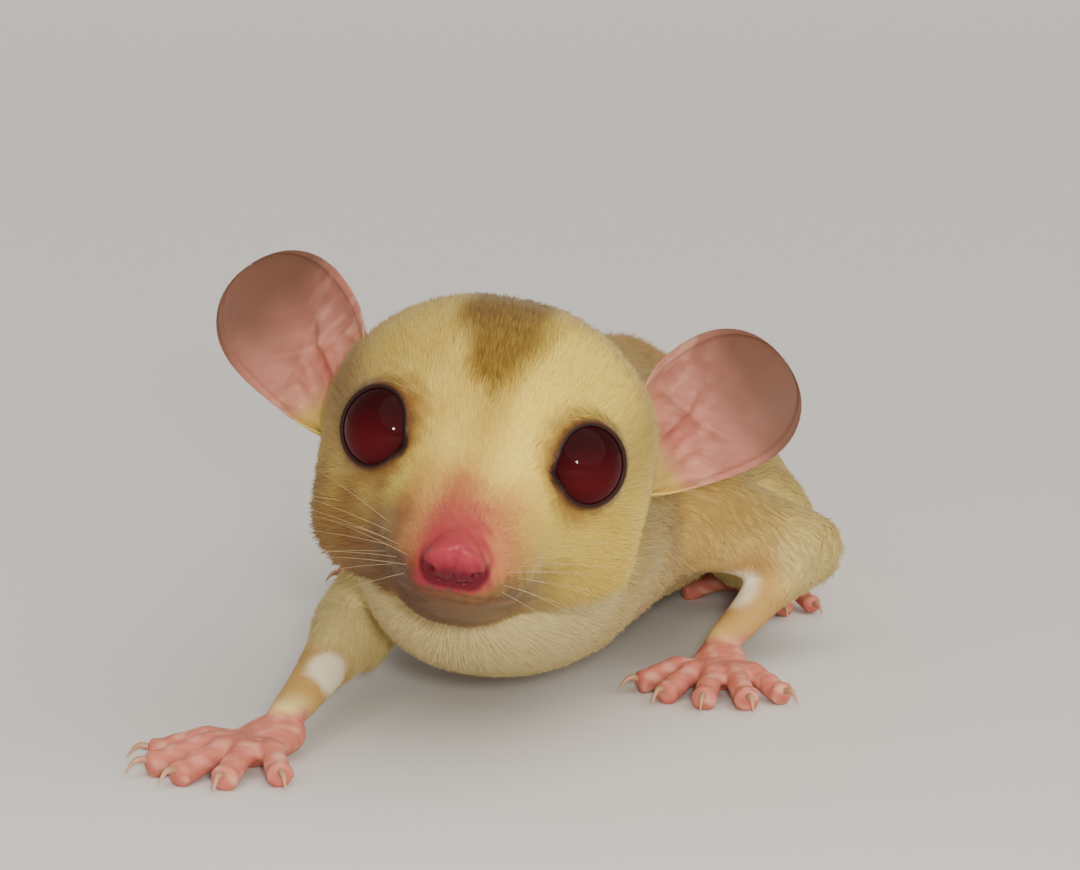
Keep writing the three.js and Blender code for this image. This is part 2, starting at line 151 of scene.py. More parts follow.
def smooth(low, high, value):
    """0 below `low`, 1 above `high` and an S curve between them; it falls where low is above high."""
    share = np.clip((value - low) / (high - low), 0, 1)
    return share * share * (3 - 2 * share)


def bell(distance, width):
    """1 at no distance, falling on both sides as a Gauss curve of that width."""
    return np.exp(-((distance / width) ** 2))


def mix(tint, colour, share):
    """Colours of points with another colour mixed in, by a share for each point or for all."""
    return tint + (np.array(colour) - tint) * np.clip(share, 0, 1)[:, None]


def turned(axis, angle):
    """The matrix that turns about an axis by an angle, by Rodrigues' formula."""
    x, y, z = unit(np.asarray(axis, float))
    cross = np.array([[0, -z, y], [z, 0, -x], [-y, x, 0]])
    return np.eye(3) + np.sin(angle) * cross + (1 - np.cos(angle)) * cross @ cross


HEAD_TURN = turned((0, 0, 1), HEAD_YAW) @ turned((1, 0, 0), HEAD_PITCH) @ turned((0, 1, 0), HEAD_ROLL)

# The eyeballs' centres, in millimetres, from their nodes' boxes
EYES = {side: np.mean(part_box(f"eye_{side}"), axis=0) / MM for side in SIDES}
SKULL = (EYES["left"] + EYES["right"]) / 2 - HEAD_TURN @ np.array([0, EYE_BACK, EYE_UP])
BODY_SHIFT = SKULL - HEAD_HEIGHT * UP


def in_head(points):
    """Points of the part's frame in the head's frame."""
    return (points - SKULL) @ HEAD_TURN


def from_head(points):
    """Points of the head's frame in the part's frame."""
    return points @ HEAD_TURN.T + SKULL


def carried(values, t):
    """Catmull-Rom blend: numbers given at whole stations, carried smoothly to the places t."""
    values = np.asarray(values, float)
    t = np.asarray(t, float)
    last = len(values) - 1
    step = np.clip(np.floor(t).astype(int), 0, last - 1)
    f = (t - step).reshape(t.shape + (1,) * (values.ndim - 1))
    a, b = values[np.maximum(step - 1, 0)], values[step]
    c, d = values[step + 1], values[np.minimum(step + 2, last)]
    return 0.5 * (2 * b + (c - a) * f + (2 * a - 5 * b + 4 * c - d) * f**2 + (3 * b - a - 3 * c + d) * f**3)


def drift(points, size, seed):
    """A smooth wandering vector of about unit length: six sine waves of random direction and phase."""
    rng = np.random.default_rng(seed)
    total = np.zeros_like(points)
    for _ in range(6):
        wave = unit(rng.normal(size=3)) * rng.uniform(0.6, 1.5) * 2 * np.pi / size
        total += np.sin(points @ wave + rng.uniform(0, 7))[:, None] * rng.normal(size=3)
    return total / 2.5


def mottle(points, size, seed):
    """A smooth wandering number from -1 to 1."""
    return np.clip(drift(points, size, seed)[:, 0], -1, 1)


def mirrored(points):
    """Points of the head's frame, those on its right brought over to its left."""
    folded = np.array(points, float)
    folded[..., 0] = np.abs(folded[..., 0])
    return folded


class Surface:
    """A grid of points over a body: rows run along it and columns around it, and its normals point out."""

    def __init__(self, points, wraps=True, ring=False):
        self.wraps = wraps
        self.ring = ring
        self.points = points
        if wraps and self.volume() < 0:
            self.points = points[:, ::-1]
        self.along = unit(self.slope(self.points, 0, ring))
        self.normal = unit(np.cross(self.slope(self.points, 1, wraps), self.along))

    @staticmethod
    def slope(grid, axis, wraps):
        """Difference between the neighbours of each point, round the seam where the grid wraps."""
        if wraps:
            return np.roll(grid, -1, axis) - np.roll(grid, 1, axis)
        return np.gradient(grid, axis=axis)

    def mesh_data(self):
        """Vertices and triangles, with a middle vertex that closes each end."""
        rows, columns = self.points.shape[:2]
        numbers = np.arange(rows * columns).reshape(rows, columns)
        if self.ring:
            numbers = np.vstack([numbers, numbers[:1]])
        if self.wraps:
            numbers = np.hstack([numbers, numbers[:, :1]])
        a, b = numbers[:-1, :-1].ravel(), numbers[:-1, 1:].ravel()
        c, d = numbers[1:, 1:].ravel(), numbers[1:, :-1].ravel()
        triangles = [np.stack([a, b, c], 1), np.stack([a, c, d], 1)]
        vertices = self.points.reshape(-1, 3)
        if self.wraps and not self.ring:
            ends = np.array([self.points[0].mean(0), self.points[-1].mean(0)])
            first, last = numbers[0], numbers[-1]
            count = len(vertices)
            start = np.stack([np.full(columns, count), first[1:], first[:-1]], 1)
            end = np.stack([np.full(columns, count + 1), last[:-1], last[1:]], 1)
            triangles += [start, end]
            vertices = np.vstack([vertices, ends])
        return vertices, np.concatenate(triangles)

    def volume(self):
        vertices, triangles = self.mesh_data()
        a, b, c = (vertices[triangles[:, k]] for k in range(3))
        return float((np.cross(a, b) * c).sum() / 6)

    def area(self):
        vertices, triangles = self.mesh_data()
        a, b, c = (vertices[triangles[:, k]] for k in range(3))
        return float(np.linalg.norm(np.cross(b - a, c - a), axis=1).sum() / 2)

    def sample(self, count, thickness, rng):
        """Places scattered over the grid, more where `thickness` of a cell's middle is more.

        A cell is drawn by its area times its thickness and a place in it evenly, and what is
        known at the grid's corners is blended to that place.
        """
        p = self.points
        if self.wraps:
            p = np.concatenate([p, p[:, :1]], 1)
        a, b, c, d = p[:-1, :-1], p[:-1, 1:], p[1:, 1:], p[1:, :-1]
        area = np.linalg.norm(np.cross(c - a, d - b), axis=2) / 2
        middle = (a + b + c + d) / 4
        weight = (area * thickness(middle.reshape(-1, 3)).reshape(area.shape)).ravel()
        cell = rng.choice(len(weight), size=count, p=weight / weight.sum())
        row, column = np.divmod(cell, area.shape[1])
        u, v = rng.random(count), rng.random(count)

        def blended(grid):
            if self.wraps:
                grid = np.concatenate([grid, grid[:, :1]], 1)
            near = grid[row, column] * (1 - v)[:, None] + grid[row, column + 1] * v[:, None]
            far = grid[row + 1, column] * (1 - v)[:, None] + grid[row + 1, column + 1] * v[:, None]
            return near * (1 - u)[:, None] + far * u[:, None]

        place = np.stack([(row + u) / area.shape[0], (column + v) / area.shape[1]], 1)
        return blended(self.points), unit(blended(self.normal)), unit(blended(self.along)), place


def swept(stations, rows, columns, start=0.0, end=None, rounds=(0, 0), squares=(2, 2), inset=0.0,
          hint=UP, crowd=0.6, relief=None, ease=0.01):
    """A closed body whose section is carried along the stations.

    A section is a squared ellipse, cos(a)^(2/p) across and sin(a)^(2/p) high, with its own reach
    up and down. A round end shrinks it as a half ellipse does. `inset` is taken off all round.
    A section stands across the line from `ease` of a station before it to `ease` behind it.
    """
    end = len(stations) - 1 if end is None else end
    share = np.linspace(0, 1, rows)
    eased = (1 - np.cos(np.pi * share)) / 2
    t = start + (end - start) * (share * (1 - crowd) + eased * crowd)
    middles = np.array([s[0] for s in stations], float)
    reaches = np.array([(s[1], s[2], s[3]) if len(s) > 2 else (s[1],) * 3 for s in stations])
    centre = carried(middles, t)
    last = len(stations) - 1
    ahead = unit(carried(middles, np.minimum(t + ease, last)) - carried(middles, np.maximum(t - ease, 0)))
    side = unit(np.cross(hint, ahead))
    rise = np.cross(ahead, side)
    shrink = np.ones(rows)
    for distance, stretch in ((t - start, rounds[0]), (end - t, rounds[1])):
        if stretch:
            left = 1 - np.clip(distance / stretch, 0, 1)
            shrink = shrink * np.maximum(np.sqrt(1 - left**2), 0.03)
    taken = inset(t) if callable(inset) else inset
    reach = carried(reaches, t) * shrink[:, None]
    reach = np.maximum(reach - np.reshape(taken, (-1, 1)), reach * 0.15)
    angle = np.linspace(0, 2 * np.pi, columns, endpoint=False)
    power = np.where(np.sin(angle) > 0, squares[0], squares[1])
    across = np.sign(np.cos(angle)) * np.abs(np.cos(angle)) ** (2 / power)
    high = np.sign(np.sin(angle)) * np.abs(np.sin(angle)) ** (2 / power)
    height = np.where(high > 0, reach[:, 1:2], reach[:, 2:3]) * high
    points = (
        centre[:, None]
        + (reach[:, :1] * across)[..., None] * side[:, None]
        + height[..., None] * rise[:, None]
    )
    if relief:
        points = points + relief(points, centre[:, None])
    return Surface(points)


# Swellings of the face in the head's frame, on both sides: where, how wide and how high
FACE_SWELLINGS = [
    ((11.6, -3.5, -11.0), 6.5, 2.9),
    ((5.0, -16.5, -6.2), 3.0, 0.9),
    ((6.5, -8.5, 7.0), 3.4, 0.8),
    ((0, -12.5, 3.6), 3.2, -0.3),
    ((2.7, -21.3, -6.3), 2.0, 0.55),
]
MOUTH_FRONT = -23.2
MOUTH_CORNER = -16.5
MOUTH_DEPTH = 0.26
LIP_SWELL = 0.12
LIP_CLEFT = 0.3
GROOVE_WIDTH = 0.3
JAW_UNDERCUT = 1.1
CHIN_RISE = 0.3
CHIN_BACK = 0.8


def mouth_height(back):
    """Height of the mouth line: it falls gently from under the nose to the corner."""
    share = np.clip((back - MOUTH_FRONT) / (MOUTH_CORNER - MOUTH_FRONT), 0, 1)
    return -7.0 - 1.7 * share


def jaw_height(across):
    """Height of the jaw's lower edge: it rises as a square from the chin to the cheeks."""
    return -13.4 + 0.013 * across**2


def face_relief(points, centre):
    """Gaussian swellings, a groove along the mouth and over the lip, a chin set back and an undercut jaw."""
    outward = points - centre
    outward[..., 1] = 0
    folded = mirrored(points)
    rise = np.zeros(points.shape[:-1])
    for at, spread, height in FACE_SWELLINGS:
        rise += height * bell(np.linalg.norm(folded - at, axis=-1), spread)
    x, y, z = np.moveaxis(folded, -1, 0)
    along_mouth = smooth(MOUTH_CORNER + 1.0, MOUTH_CORNER - 5.0, y)
    from_line = z - mouth_height(y)
    rise -= MOUTH_DEPTH * bell(from_line, GROOVE_WIDTH) * along_mouth
    rise += LIP_SWELL * bell(from_line - 0.8, 0.7) * along_mouth
    rise -= LIP_CLEFT * bell(x, GROOVE_WIDTH) * smooth(-20.5, -22, y) * (from_line > 0)
    rise -= JAW_UNDERCUT * smooth(0.4, -1.4, z - jaw_height(x)) * smooth(6, 0, y)
    chin = smooth(0.2, -2.4, from_line) * smooth(-10, -20, y)
    rise -= CHIN_RISE * chin
    return unit(outward) * rise[..., None] + np.array([0, CHIN_BACK, 0]) * chin[..., None]


NOSTRIL = np.array([2.3, -23.1, -4.75])


def nose_relief(points, centre):
    """Two comma-shaped nostrils on the pad's sides, and a groove down its middle."""
    outward = unit(points - np.array([0, -21.0, -3.6]))
    folded = mirrored(points)
    away = (folded - NOSTRIL) / [0.5, 0.8, 0.34]
    tail = (folded - NOSTRIL - [0.6, 0.9, 0.3]) / [0.5, 0.9, 0.26]
    sink = 0.8 * np.exp(-((away**2).sum(-1))) + 0.5 * np.exp(-((tail**2).sum(-1)))
    rim = 0.18 * bell(np.linalg.norm(away, axis=-1) - 1.8, 0.6)
    groove = 0.3 * bell(points[..., 0], GROOVE_WIDTH) * smooth(-22.0, -23.4, points[..., 1])
    return outward * (rim - sink - groove)[..., None]


def ear_axes():
    """The ear's own directions in the head's frame: up it, behind it and across it, for the left ear."""
    upright = np.cos(EAR_LEAN)
    along = np.array([np.sin(EAR_TILT) * upright, np.sin(EAR_LEAN), np.cos(EAR_TILT) * upright])
    behind = np.array([0, 1, -0.33])
    behind = turned(along, EAR_TURN) @ unit(behind - along * (behind @ along))
    return along, behind, np.cross(behind, along)


EAR_ALONG, EAR_BEHIND, EAR_ACROSS = ear_axes()


def ear_points(side, u, v, lift):
    """Points of an ear: u from its inner to its outer edge (-1 to 1), v up it (0 to 1).

    The half width swells from the foot and closes in a blunt round outline. The section is an
    arc of a circle, nearly a tube at the foot and open towards the tip, `lift` in front of it.
    """
    widest = 0.62 + 0.2 * u
    swell = EAR_FOOT + (EAR_HALF_WIDTH - EAR_FOOT) * np.sin(np.minimum(v / widest, 1) * np.pi / 2)
    above = np.maximum(v - 0.4, 0) / 0.6
    half = swell * np.maximum(1 - above**2.8, 0.002) ** (1 / 2.2)
    bend = (20 + 85 * np.maximum(1 - v, 0) ** 1.8) * DEGREE
    radius = half / np.sin(np.minimum(bend, np.pi / 2))
    across = (radius - lift) * np.sin(u * bend)
    behind = EAR_DEPTH - radius + (radius - lift) * np.cos(u * bend)
    height = EAR_HEIGHT * (v + 0.05 * v * across / EAR_HALF_WIDTH)
    points = (
        EAR_BASE
        + across[..., None] * EAR_ACROSS
        + behind[..., None] * EAR_BEHIND
        + height[..., None] * EAR_ALONG
    )
    return points * [side, 1, 1]


def ear_coordinates(points, side):
    """Across, behind and up the ear, for points in the head's frame."""
    away = points * [side, 1, 1] - EAR_BASE
    return away @ EAR_ACROSS, away @ EAR_BEHIND, away @ EAR_ALONG


def ear_surface(side):
    """A thin leaf with a round edge; its front carries cross ribs and the folds at its foot."""
    rows, columns = 64, 46
    share = np.linspace(0, 1, rows)[:, None]
    v = -0.12 + 1.1195 * (1 - (1 - share) ** 1.7)
    turn = np.linspace(0, 2 * np.pi, 2 * columns, endpoint=False)[None, :]
    u = np.cos(turn) * np.ones_like(v)
    v = v * np.ones_like(u)
    thick = 0.62 - 0.2 * np.clip(v, 0, 1)
    edge = np.sqrt(np.maximum(1 - u**2, 0)) ** 0.5
    front = np.where(np.sin(turn) > 0, 1.0, 0.0)
    lift = thick * (0.5 + 0.5 * np.sign(np.sin(turn)) * edge)
    inside = smooth(0.95, 0.7, np.abs(u)) * front
    wander = 0.25 * np.sin(5.1 * u + 2.0) + 0.2 * np.sin(9.7 * u * v)
    ribs = 0.045 * np.sin(2 * np.pi * (v * 7.5 + 0.55 * np.abs(u - 0.2) + wander))
    ribs = ribs * smooth(0.3, 0.5, v) * smooth(0.92, 0.7, v)
    fold = 1.5 * bell(u + 0.2 + 0.7 * (v - 0.3), 0.11) * smooth(0.0, 0.12, v) * smooth(0.6, 0.36, v)
    second = 0.9 * bell(u - 0.22 + 0.5 * (v - 0.3), 0.09) * smooth(0.1, 0.2, v) * smooth(0.5, 0.3, v)
    lobe = 1.6 * np.exp(-(((u - 0.55) / 0.18) ** 2) - (((v - 0.22) / 0.09) ** 2))
    ridge = 0.75 * bell(v - 0.4 - 0.16 * u + 0.03 * wander, 0.035) * smooth(0.8, 0.4, np.abs(u + 0.1))
    crumple = 0.16 * np.sin(17 * u + 9 * v) * np.sin(25 * v - 6 * u) * smooth(0.5, 0.3, v)
    rim = 0.3 * bell(np.abs(u) - 0.93, 0.05) * smooth(0.1, 0.4, v)
    lift = lift + inside * (ribs + fold + second + lobe + ridge + crumple) + front * rim
    return Surface(ear_points(side, u, v, lift))


def leg_surfaces(kind, side, inset):
    """The two lengths of a leg, each tapering from joint to joint and rounded past both of them."""
    joints = np.array(LEGS[kind, side][0], float)
    top, middle, low = LEG_RADII[kind]
    made = []
    lengths = ((joints[0], joints[1], top, middle), (joints[1], joints[2], middle * 0.94, low))
    for near, far, wide, slim in lengths:
        ahead = unit(far - near)
        stations = [
            (near - ahead * wide * 0.7, wide),
            (near + (far - near) * 0.1, wide),
            (near + (far - near) * 0.55, wide * 0.5 + slim * 0.46),
            (far, slim),
            (far + ahead * slim * 0.6, slim),
        ]
        stations = [(at + BODY_SHIFT, half) for at, half in stations]
        made.append(swept(stations, 40, 32, rounds=(1, 1), inset=inset, hint=np.array([1.0, 0, 0])))
    return made


def digit_root(turn, palm, half_palm, inner):
    """Where a digit leaves the palm's round front edge, by the way it points."""
    angle = turn * DEGREE * inner * 0.9
    return np.array([np.sin(angle) * half_palm, -palm + half_palm * (1 - np.cos(angle)) * 0.6])


def paw_matrix(kind, side):
    """The turn of a paw's own frame and its place, on the floor under the wrist or ankle."""
    joints, turn = LEGS[kind, side]
    return turned(UP, turn), np.array([joints[2][0], joints[2][1], 0]) + BODY_SHIFT * [1, 1, 0]


def digit_places(kind, side):
    """Root, direction, length and radius of each digit, in the paw's own frame."""
    palm, half_palm, _ = PALMS[kind]
    inner = -SIDES[side]
    for turn, length, radius in DIGITS[kind]:
        angle = turn * DEGREE * inner
        ahead = np.array([np.sin(angle), -np.cos(angle)])
        yield digit_root(turn, palm, half_palm, inner), ahead, length, radius


def paw_surfaces(kind, side):
    """The palm and its digits: each digit rises over a knuckle and ends in a round pad."""
    palm, half_palm, heel = PALMS[kind]
    matrix, place = paw_matrix(kind, side)
    sheets = [[
        ((0, 1.5, heel * 1.1), heel * 0.86, heel * 0.86, heel * 0.86),
        ((0, -palm * 0.35, 2.4), half_palm * 0.82, 2.0, 2.4),
        ((0, -palm * 0.75, 2.0), half_palm * 0.96, 1.5, 2.1),
        ((0, -palm - 1.2, 1.8), half_palm * 0.8, 1.0, 1.9),
    ]]
    for root, ahead, length, radius in digit_places(kind, side):
        def out(share, height):
            return (*(root + ahead * length * share), height)
        sheets.append([
            (out(-0.2, 1.8), radius * 0.98),
            (out(0.16, 2.25), radius * 0.9),
            (out(0.3, 2.4), radius * 0.97),
            (out(0.5, 2.05), radius * 0.86),
            (out(0.66, 1.75), radius * 0.93),
            (out(0.84, 1.3), radius * 0.88, radius * 0.85, radius * 0.95),
            (out(0.96, 1.25), radius * 1.06, radius * 0.98, radius * 1.02),
            (out(1.03, 1.2), radius * 0.85, radius * 0.85, radius * 0.85),
        ])
    made = []
    for index, stations in enumerate(sheets):
        stations = [(matrix @ np.array(s[0]) + place, *s[1:]) for s in stations]
        rounds = (0.5, 0.6) if index == 0 else (0.5, 1.1)
        made.append(swept(stations, 34, 22, rounds=rounds))
    return made


def claw_surfaces(kind, side):
    """Curved tapering claws: the middle line bends down and the radius falls to a point."""
    matrix, place = paw_matrix(kind, side)
    for index, (root, ahead, length, radius) in enumerate(digit_places(kind, side)):
        if kind == "hind" and index == 0:
            continue
        start = length + radius * 0.35
        def out(extra, height):
            return (*(root + ahead * (start + extra)), height)
        stations = [
            (out(-0.9, radius * 1.05), CLAW_RADIUS * 0.62),
            (out(0.2, radius * 1.28), CLAW_RADIUS * 0.74),
            (out(CLAW_LENGTH * 0.5, radius * 1.2), CLAW_RADIUS * 0.56),
            (out(CLAW_LENGTH * 0.85, radius * 0.8), CLAW_RADIUS * 0.3),
            (out(CLAW_LENGTH + 0.15, radius * 0.36), CLAW_RADIUS * 0.1),
        ]
        stations = [(matrix @ np.array(at) + place, half) for at, half in stations]
        yield swept(stations, 22, 14, rounds=(0.4, 0.3), crowd=0)


def place_along(back):
    """The place along the trunk's stations whose middle lies `back` along the body."""
    backs = [s[0][1] for s in TRUNK_STATIONS]
    return np.interp(back, backs, np.arange(len(backs)))


def fold_surface(side, inset):
    """The gathered gliding skin: a round-edged fold that follows the trunk's flank."""
    start, end = FOLD_ENDS[side]
    stations = []
    for back in np.linspace(start, end, 5):
        place = place_along(back)
        middle = carried([s[0] for s in TRUNK_STATIONS], place)[0]
        flank = carried([s[1] for s in TRUNK_STATIONS], place)
        at = np.array([middle + SIDES[side] * (flank + 0.6), back, 9.4]) + BODY_SHIFT
        stations.append((at, 3.4, 5.0, 3.4))
    return swept(stations, 40, 28, rounds=(1.2, 1.2), inset=inset)


def shifted(stations):
    """Stations of the body's frame in the part's frame."""
    return [(np.array(s[0]) + BODY_SHIFT, *s[1:]) for s in stations]


# How far the skin lies inside the tips of the coat
COAT_DEPTH = {"head": 1.0, "trunk": 2.3, "tail": 4.6, "leg": 1.5, "fold": 1.3}


def head_inset(t):
    """Next to nothing at the lips, then the head's depth, and more towards the nape."""
    return 0.25 + (COAT_DEPTH["head"] - 0.25) * smooth(1, 4.5, t) + 0.7 * smooth(6, 9, t)


def leg_inset(t):
    """The leg's depth of coat, less of it towards the lower end of each length."""
    return COAT_DEPTH["leg"] - 0.7 * smooth(1.5, 3.2, t)


@functools.cache
def flesh():
    """Every surface of the animal's flesh by name, in millimetres in the part's frame."""
    head = swept(HEAD_STATIONS, 150, 172, rounds=(0.8, 2.2), squares=(2.15, 2.5), inset=head_inset,
                 relief=face_relief, ease=1.0)
    nose = swept(NOSE_STATIONS, 50, 60, rounds=(0.9, 0.9), relief=nose_relief,
                 inset=lambda t: 1.1 * smooth(1.3, 2.6, t))
    made = {
        "head": Surface(from_head(head.points)),
        "nose": Surface(from_head(nose.points)),
        "trunk": swept(shifted(TRUNK_STATIONS), 100, 84, rounds=(0.9, 1.6), squares=(2.3, 2.3),
                       inset=COAT_DEPTH["trunk"]),
        "tail": swept(shifted(TAIL_STATIONS), 110, 30, rounds=(0, 0.9),
                      inset=lambda t: COAT_DEPTH["tail"] * smooth(-0.6, 1.6, t)),
    }
    for side in SIDES:
        made[f"ear_{side}"] = Surface(from_head(ear_surface(SIDES[side]).points))
        made[f"fold_{side}"] = fold_surface(side, COAT_DEPTH["fold"])
        for kind in ("fore", "hind"):
            for length, surface in zip(("upper", "lower"), leg_surfaces(kind, side, leg_inset)):
                made[f"{kind}_{side}_{length}"] = surface
    return made


@functools.cache
def grounds():
    """Every surface that hair grows on: the flesh, the lids, and each paw's palm and digits."""
    made = dict(flesh())
    for side in SIDES:
        made[f"lid_{side}"] = lid_surface(side)
    for kind, side in LEGS:
        for number, surface in enumerate(paw_surfaces(kind, side)):
            made[f"paw_{kind}_{side}_{number}"] = surface
    return made


# The lids' opening: its axis from the eyeball's centre, its half angles, the pointed inner corner,
# the rim's height and width, and how far round the eyeball the lids reach under the face
LID_AXIS = unit(np.array([0.490, -0.815, 0.309]))
LID_WIDE_ANGLE = 45.5 * DEGREE
LID_TALL_ANGLE = 51 * DEGREE
LID_CORNER = 0.12
LID_THICKNESS = 0.34
LID_RIM = 0.38
LID_END = 112 * DEGREE


def lid_axes(side):
    """The opening's axis, its upward direction and the way to its outer corner, in the part's frame."""
    axis = HEAD_TURN @ (LID_AXIS * [SIDES[side], 1, 1])
    high = HEAD_TURN @ UP
    high = unit(high - axis * (high @ axis))
    return axis, high, np.cross(high, axis) * SIDES[side]


def lid_opening(around):
    """Half angle of the opening round the eye: the radius of an ellipse, more at the inner corner."""
    oval = 1 / np.sqrt((np.cos(around) / LID_WIDE_ANGLE) ** 2 + (np.sin(around) / LID_TALL_ANGLE) ** 2)
    from_corner = np.angle(np.exp(1j * (around - 190 * DEGREE)))
    return oval * (1 + LID_CORNER * np.exp(-((from_corner / 0.3) ** 2)))


def round_eye(side, tilt, around, distance):
    """Points about the eyeball's centre: tilted from the lids' axis, turned round it, at a distance."""
    axis, high, wide = lid_axes(side)
    away = (
        np.cos(tilt)[..., None] * axis
        + (np.sin(tilt) * np.cos(around))[..., None] * wide
        + (np.sin(tilt) * np.sin(around))[..., None] * high
    )
    return EYES[side] + away * distance


def lid_surface(side):
    """The lids: a shell on the eyeball round the opening, which runs back under the face.

    Its outside rises as a quarter circle to the rim's height, dips into a shallow fold and goes on
    level. Its inside runs back inside the eyeball, which is cut out of it later.
    """
    around = np.linspace(0, 2 * np.pi, 104, endpoint=False)[:, None]
    opening = lid_opening(around)
    out = np.linspace(0, 1, 20)[None, :] ** 1.7
    outside = out * (LID_END - opening) * EYE_RADIUS
    rim = 1 - np.clip(outside / LID_RIM, 0, 1)
    top = LID_THICKNESS * (np.sqrt(1 - rim**2) - 0.4 * bell(outside - 1.15, 0.4))
    top *= smooth(1.0, 0.8, out)
    back = np.linspace(1, 0, 8)[None, 1:-1]
    under = back * (LID_END - opening) * EYE_RADIUS
    tilt = opening + np.hstack([outside, under]) / EYE_RADIUS
    height = np.hstack([top, np.full_like(under, -0.7)])
    return Surface(round_eye(side, tilt, around, (EYE_RADIUS + height)[..., None]), ring=True)


def opening_plug(side):
    """What is cut out over the eye: a blunt cone from the eyeball outwards, just inside the rim."""
    around = np.linspace(0, 2 * np.pi, 104, endpoint=False)[None, :]
    rows = 14
    wider, narrower = np.linspace(0.06, 1, rows), np.linspace(1, 0.06, rows)
    share = np.concatenate([wider, np.full(4, 1.0), narrower])[:, None]
    height = np.concatenate([np.full(rows, -1.0), np.linspace(-0.5, 3.5, 4), np.full(rows, 4.0)])[:, None]
    tilt = share * (lid_opening(around) - 0.01)
    return Surface(round_eye(side, tilt, around, (EYE_RADIUS + height)[..., None]))


def ball_surface(side, radius):
    """A sphere about the eye's axis, from pole to pole."""
    tilt = np.linspace(0.02, np.pi - 0.02, 60)[:, None]
    around = np.linspace(0, 2 * np.pi, 88, endpoint=False)[None, :]
    return Surface(round_eye(side, tilt, around, radius))


def from_lids(points, side):
    """How far points lie outside the lids' opening, in millimetres along the eyeball, and how far off it."""
    axis, high, wide = lid_axes(side)
    away = points - EYES[side]
    distance = np.linalg.norm(away, axis=-1)
    tilt = np.arccos(np.clip(away @ axis / distance, -1, 1))
    around = np.arctan2(away @ high, away @ wide)
    return (tilt - lid_opening(around)) * EYE_RADIUS, distance - EYE_RADIUS


def from_rim(points, side):
    """Distance from the lids' rim, for points on the face outside it."""
    outside, off = from_lids(points, side)
    return np.hypot(np.maximum(outside, 0), np.maximum(off - 0.3, 0))


# The middle of the nose's pad and its reach, and the line of the bridge's blush from the pad upwards
PAD_MIDDLE = np.array([0, -22.4, -4.2])
PAD_REACH = np.array([3.5, 3.0, 2.9])
BLUSH_START = np.array([0, -22.6, -4.6])
BLUSH_END = np.array([-0.7, -16.6, 0.6])


def from_pad(points):
    """Distance from the middle of the nose's pad, in shares of the pad's reach, in the head's frame."""
    return np.linalg.norm((points - PAD_MIDDLE) / PAD_REACH, axis=1)


def nose_pad(points):
    """1 on the bare pad of the nose and 0 off it, for points in the head's frame."""
    return smooth(1.14, 0.94, from_pad(points)) * smooth(-6.9, -6.3, points[:, 2])


def nose_blush(points):
    """1 on the nose and up the bridge over it, fading out round them, in the head's frame."""
    line = BLUSH_END - BLUSH_START
    share = np.clip((points - BLUSH_START) @ line / (line @ line), 0, 1)
    away = np.linalg.norm(points - BLUSH_START - share[:, None] * line, axis=1)
    width = 3.7 - 1.6 * share
    return smooth(width + 1.5, width - 1.3, away) * (1 - 0.55 * share**2) * smooth(-7.2, -6.3, points[:, 2])


def mouth_share(points):
    """1 on the mouth line and 0 off it, for points in the head's frame."""
    x, y, z = points.T
    line = bell(z - mouth_height(y), 0.36)
    return line * smooth(MOUTH_CORNER + 1.0, MOUTH_CORNER - 5.0, y) * smooth(-4.5, -5.5, z)


# The stripe on the head: how wide it is on each side, at places from the brow to the nape
STRIPE_BACKS = (-13.0, -10.0, -7.0, -3.0, 2.0, 9.0, 22.0)
STRIPE_HALF_WIDTHS = (0.0, 0.9, 2.1, 3.7, 4.7, 4.2, 3.2)
# The middle of the pink on the muzzle, and the places of the brown patches in front of the ears' feet,
# partly painted shade
MUZZLE_MIDDLE = np.array([0, -22.5, -4.8])
TEMPLE_ACROSS = 14.8
TEMPLE_UP = 3.0
# Where along the body the tail's golden-brown starts, deepens and ends at the pale tip, and how far
# out the flank folds' tan edge starts
TAIL_START = 104
TAIL_DEEPENS = 150
TAIL_TIP = 262
FOLD_EDGE = 18.5


def markings(points, colours):
    """The colour of skin and coat alike, from the place alone.

    Cream all over, with a golden-brown stripe that starts in a point between the eyes, spreads over
    the crown and runs narrow along the back; a pink muzzle; a pale throat; tan wrists with a white
    spot inside them, and a tail that darkens before its pale tip. Some of these colours are painted light
    and shade: a clearer cream on the left brow, browner jaw, chin and temples on the right, a darker
    chin, greyer flanks, tan shoulders and the brown round the eyes.
    """
    head = in_head(points)
    blotch = mottle(points, 5.0, 11)
    fine = mottle(points, 1.6, 12)
    from_middle = np.linalg.norm(np.stack([head[:, 0], np.maximum(head[:, 1], -12), head[:, 2]]), axis=0)
    near_head = smooth(27, 22, from_middle)
    tint = np.broadcast_to(np.array(colours.coat), points.shape).copy()
    tint = mix(tint, colours.pale, 0.5 + 0.35 * blotch)
    tint = trunk_markings(points - BODY_SHIFT, tint, colours, near_head, head[:, 1], blotch)
    tint = crown_markings(head, tint, colours, near_head, blotch, fine)
    tint = face_markings(head, tint, colours, near_head, blotch, fine)
    tint = eye_markings(points, tint, colours, fine)
    return limb_markings(points - BODY_SHIFT, tint, colours, blotch)


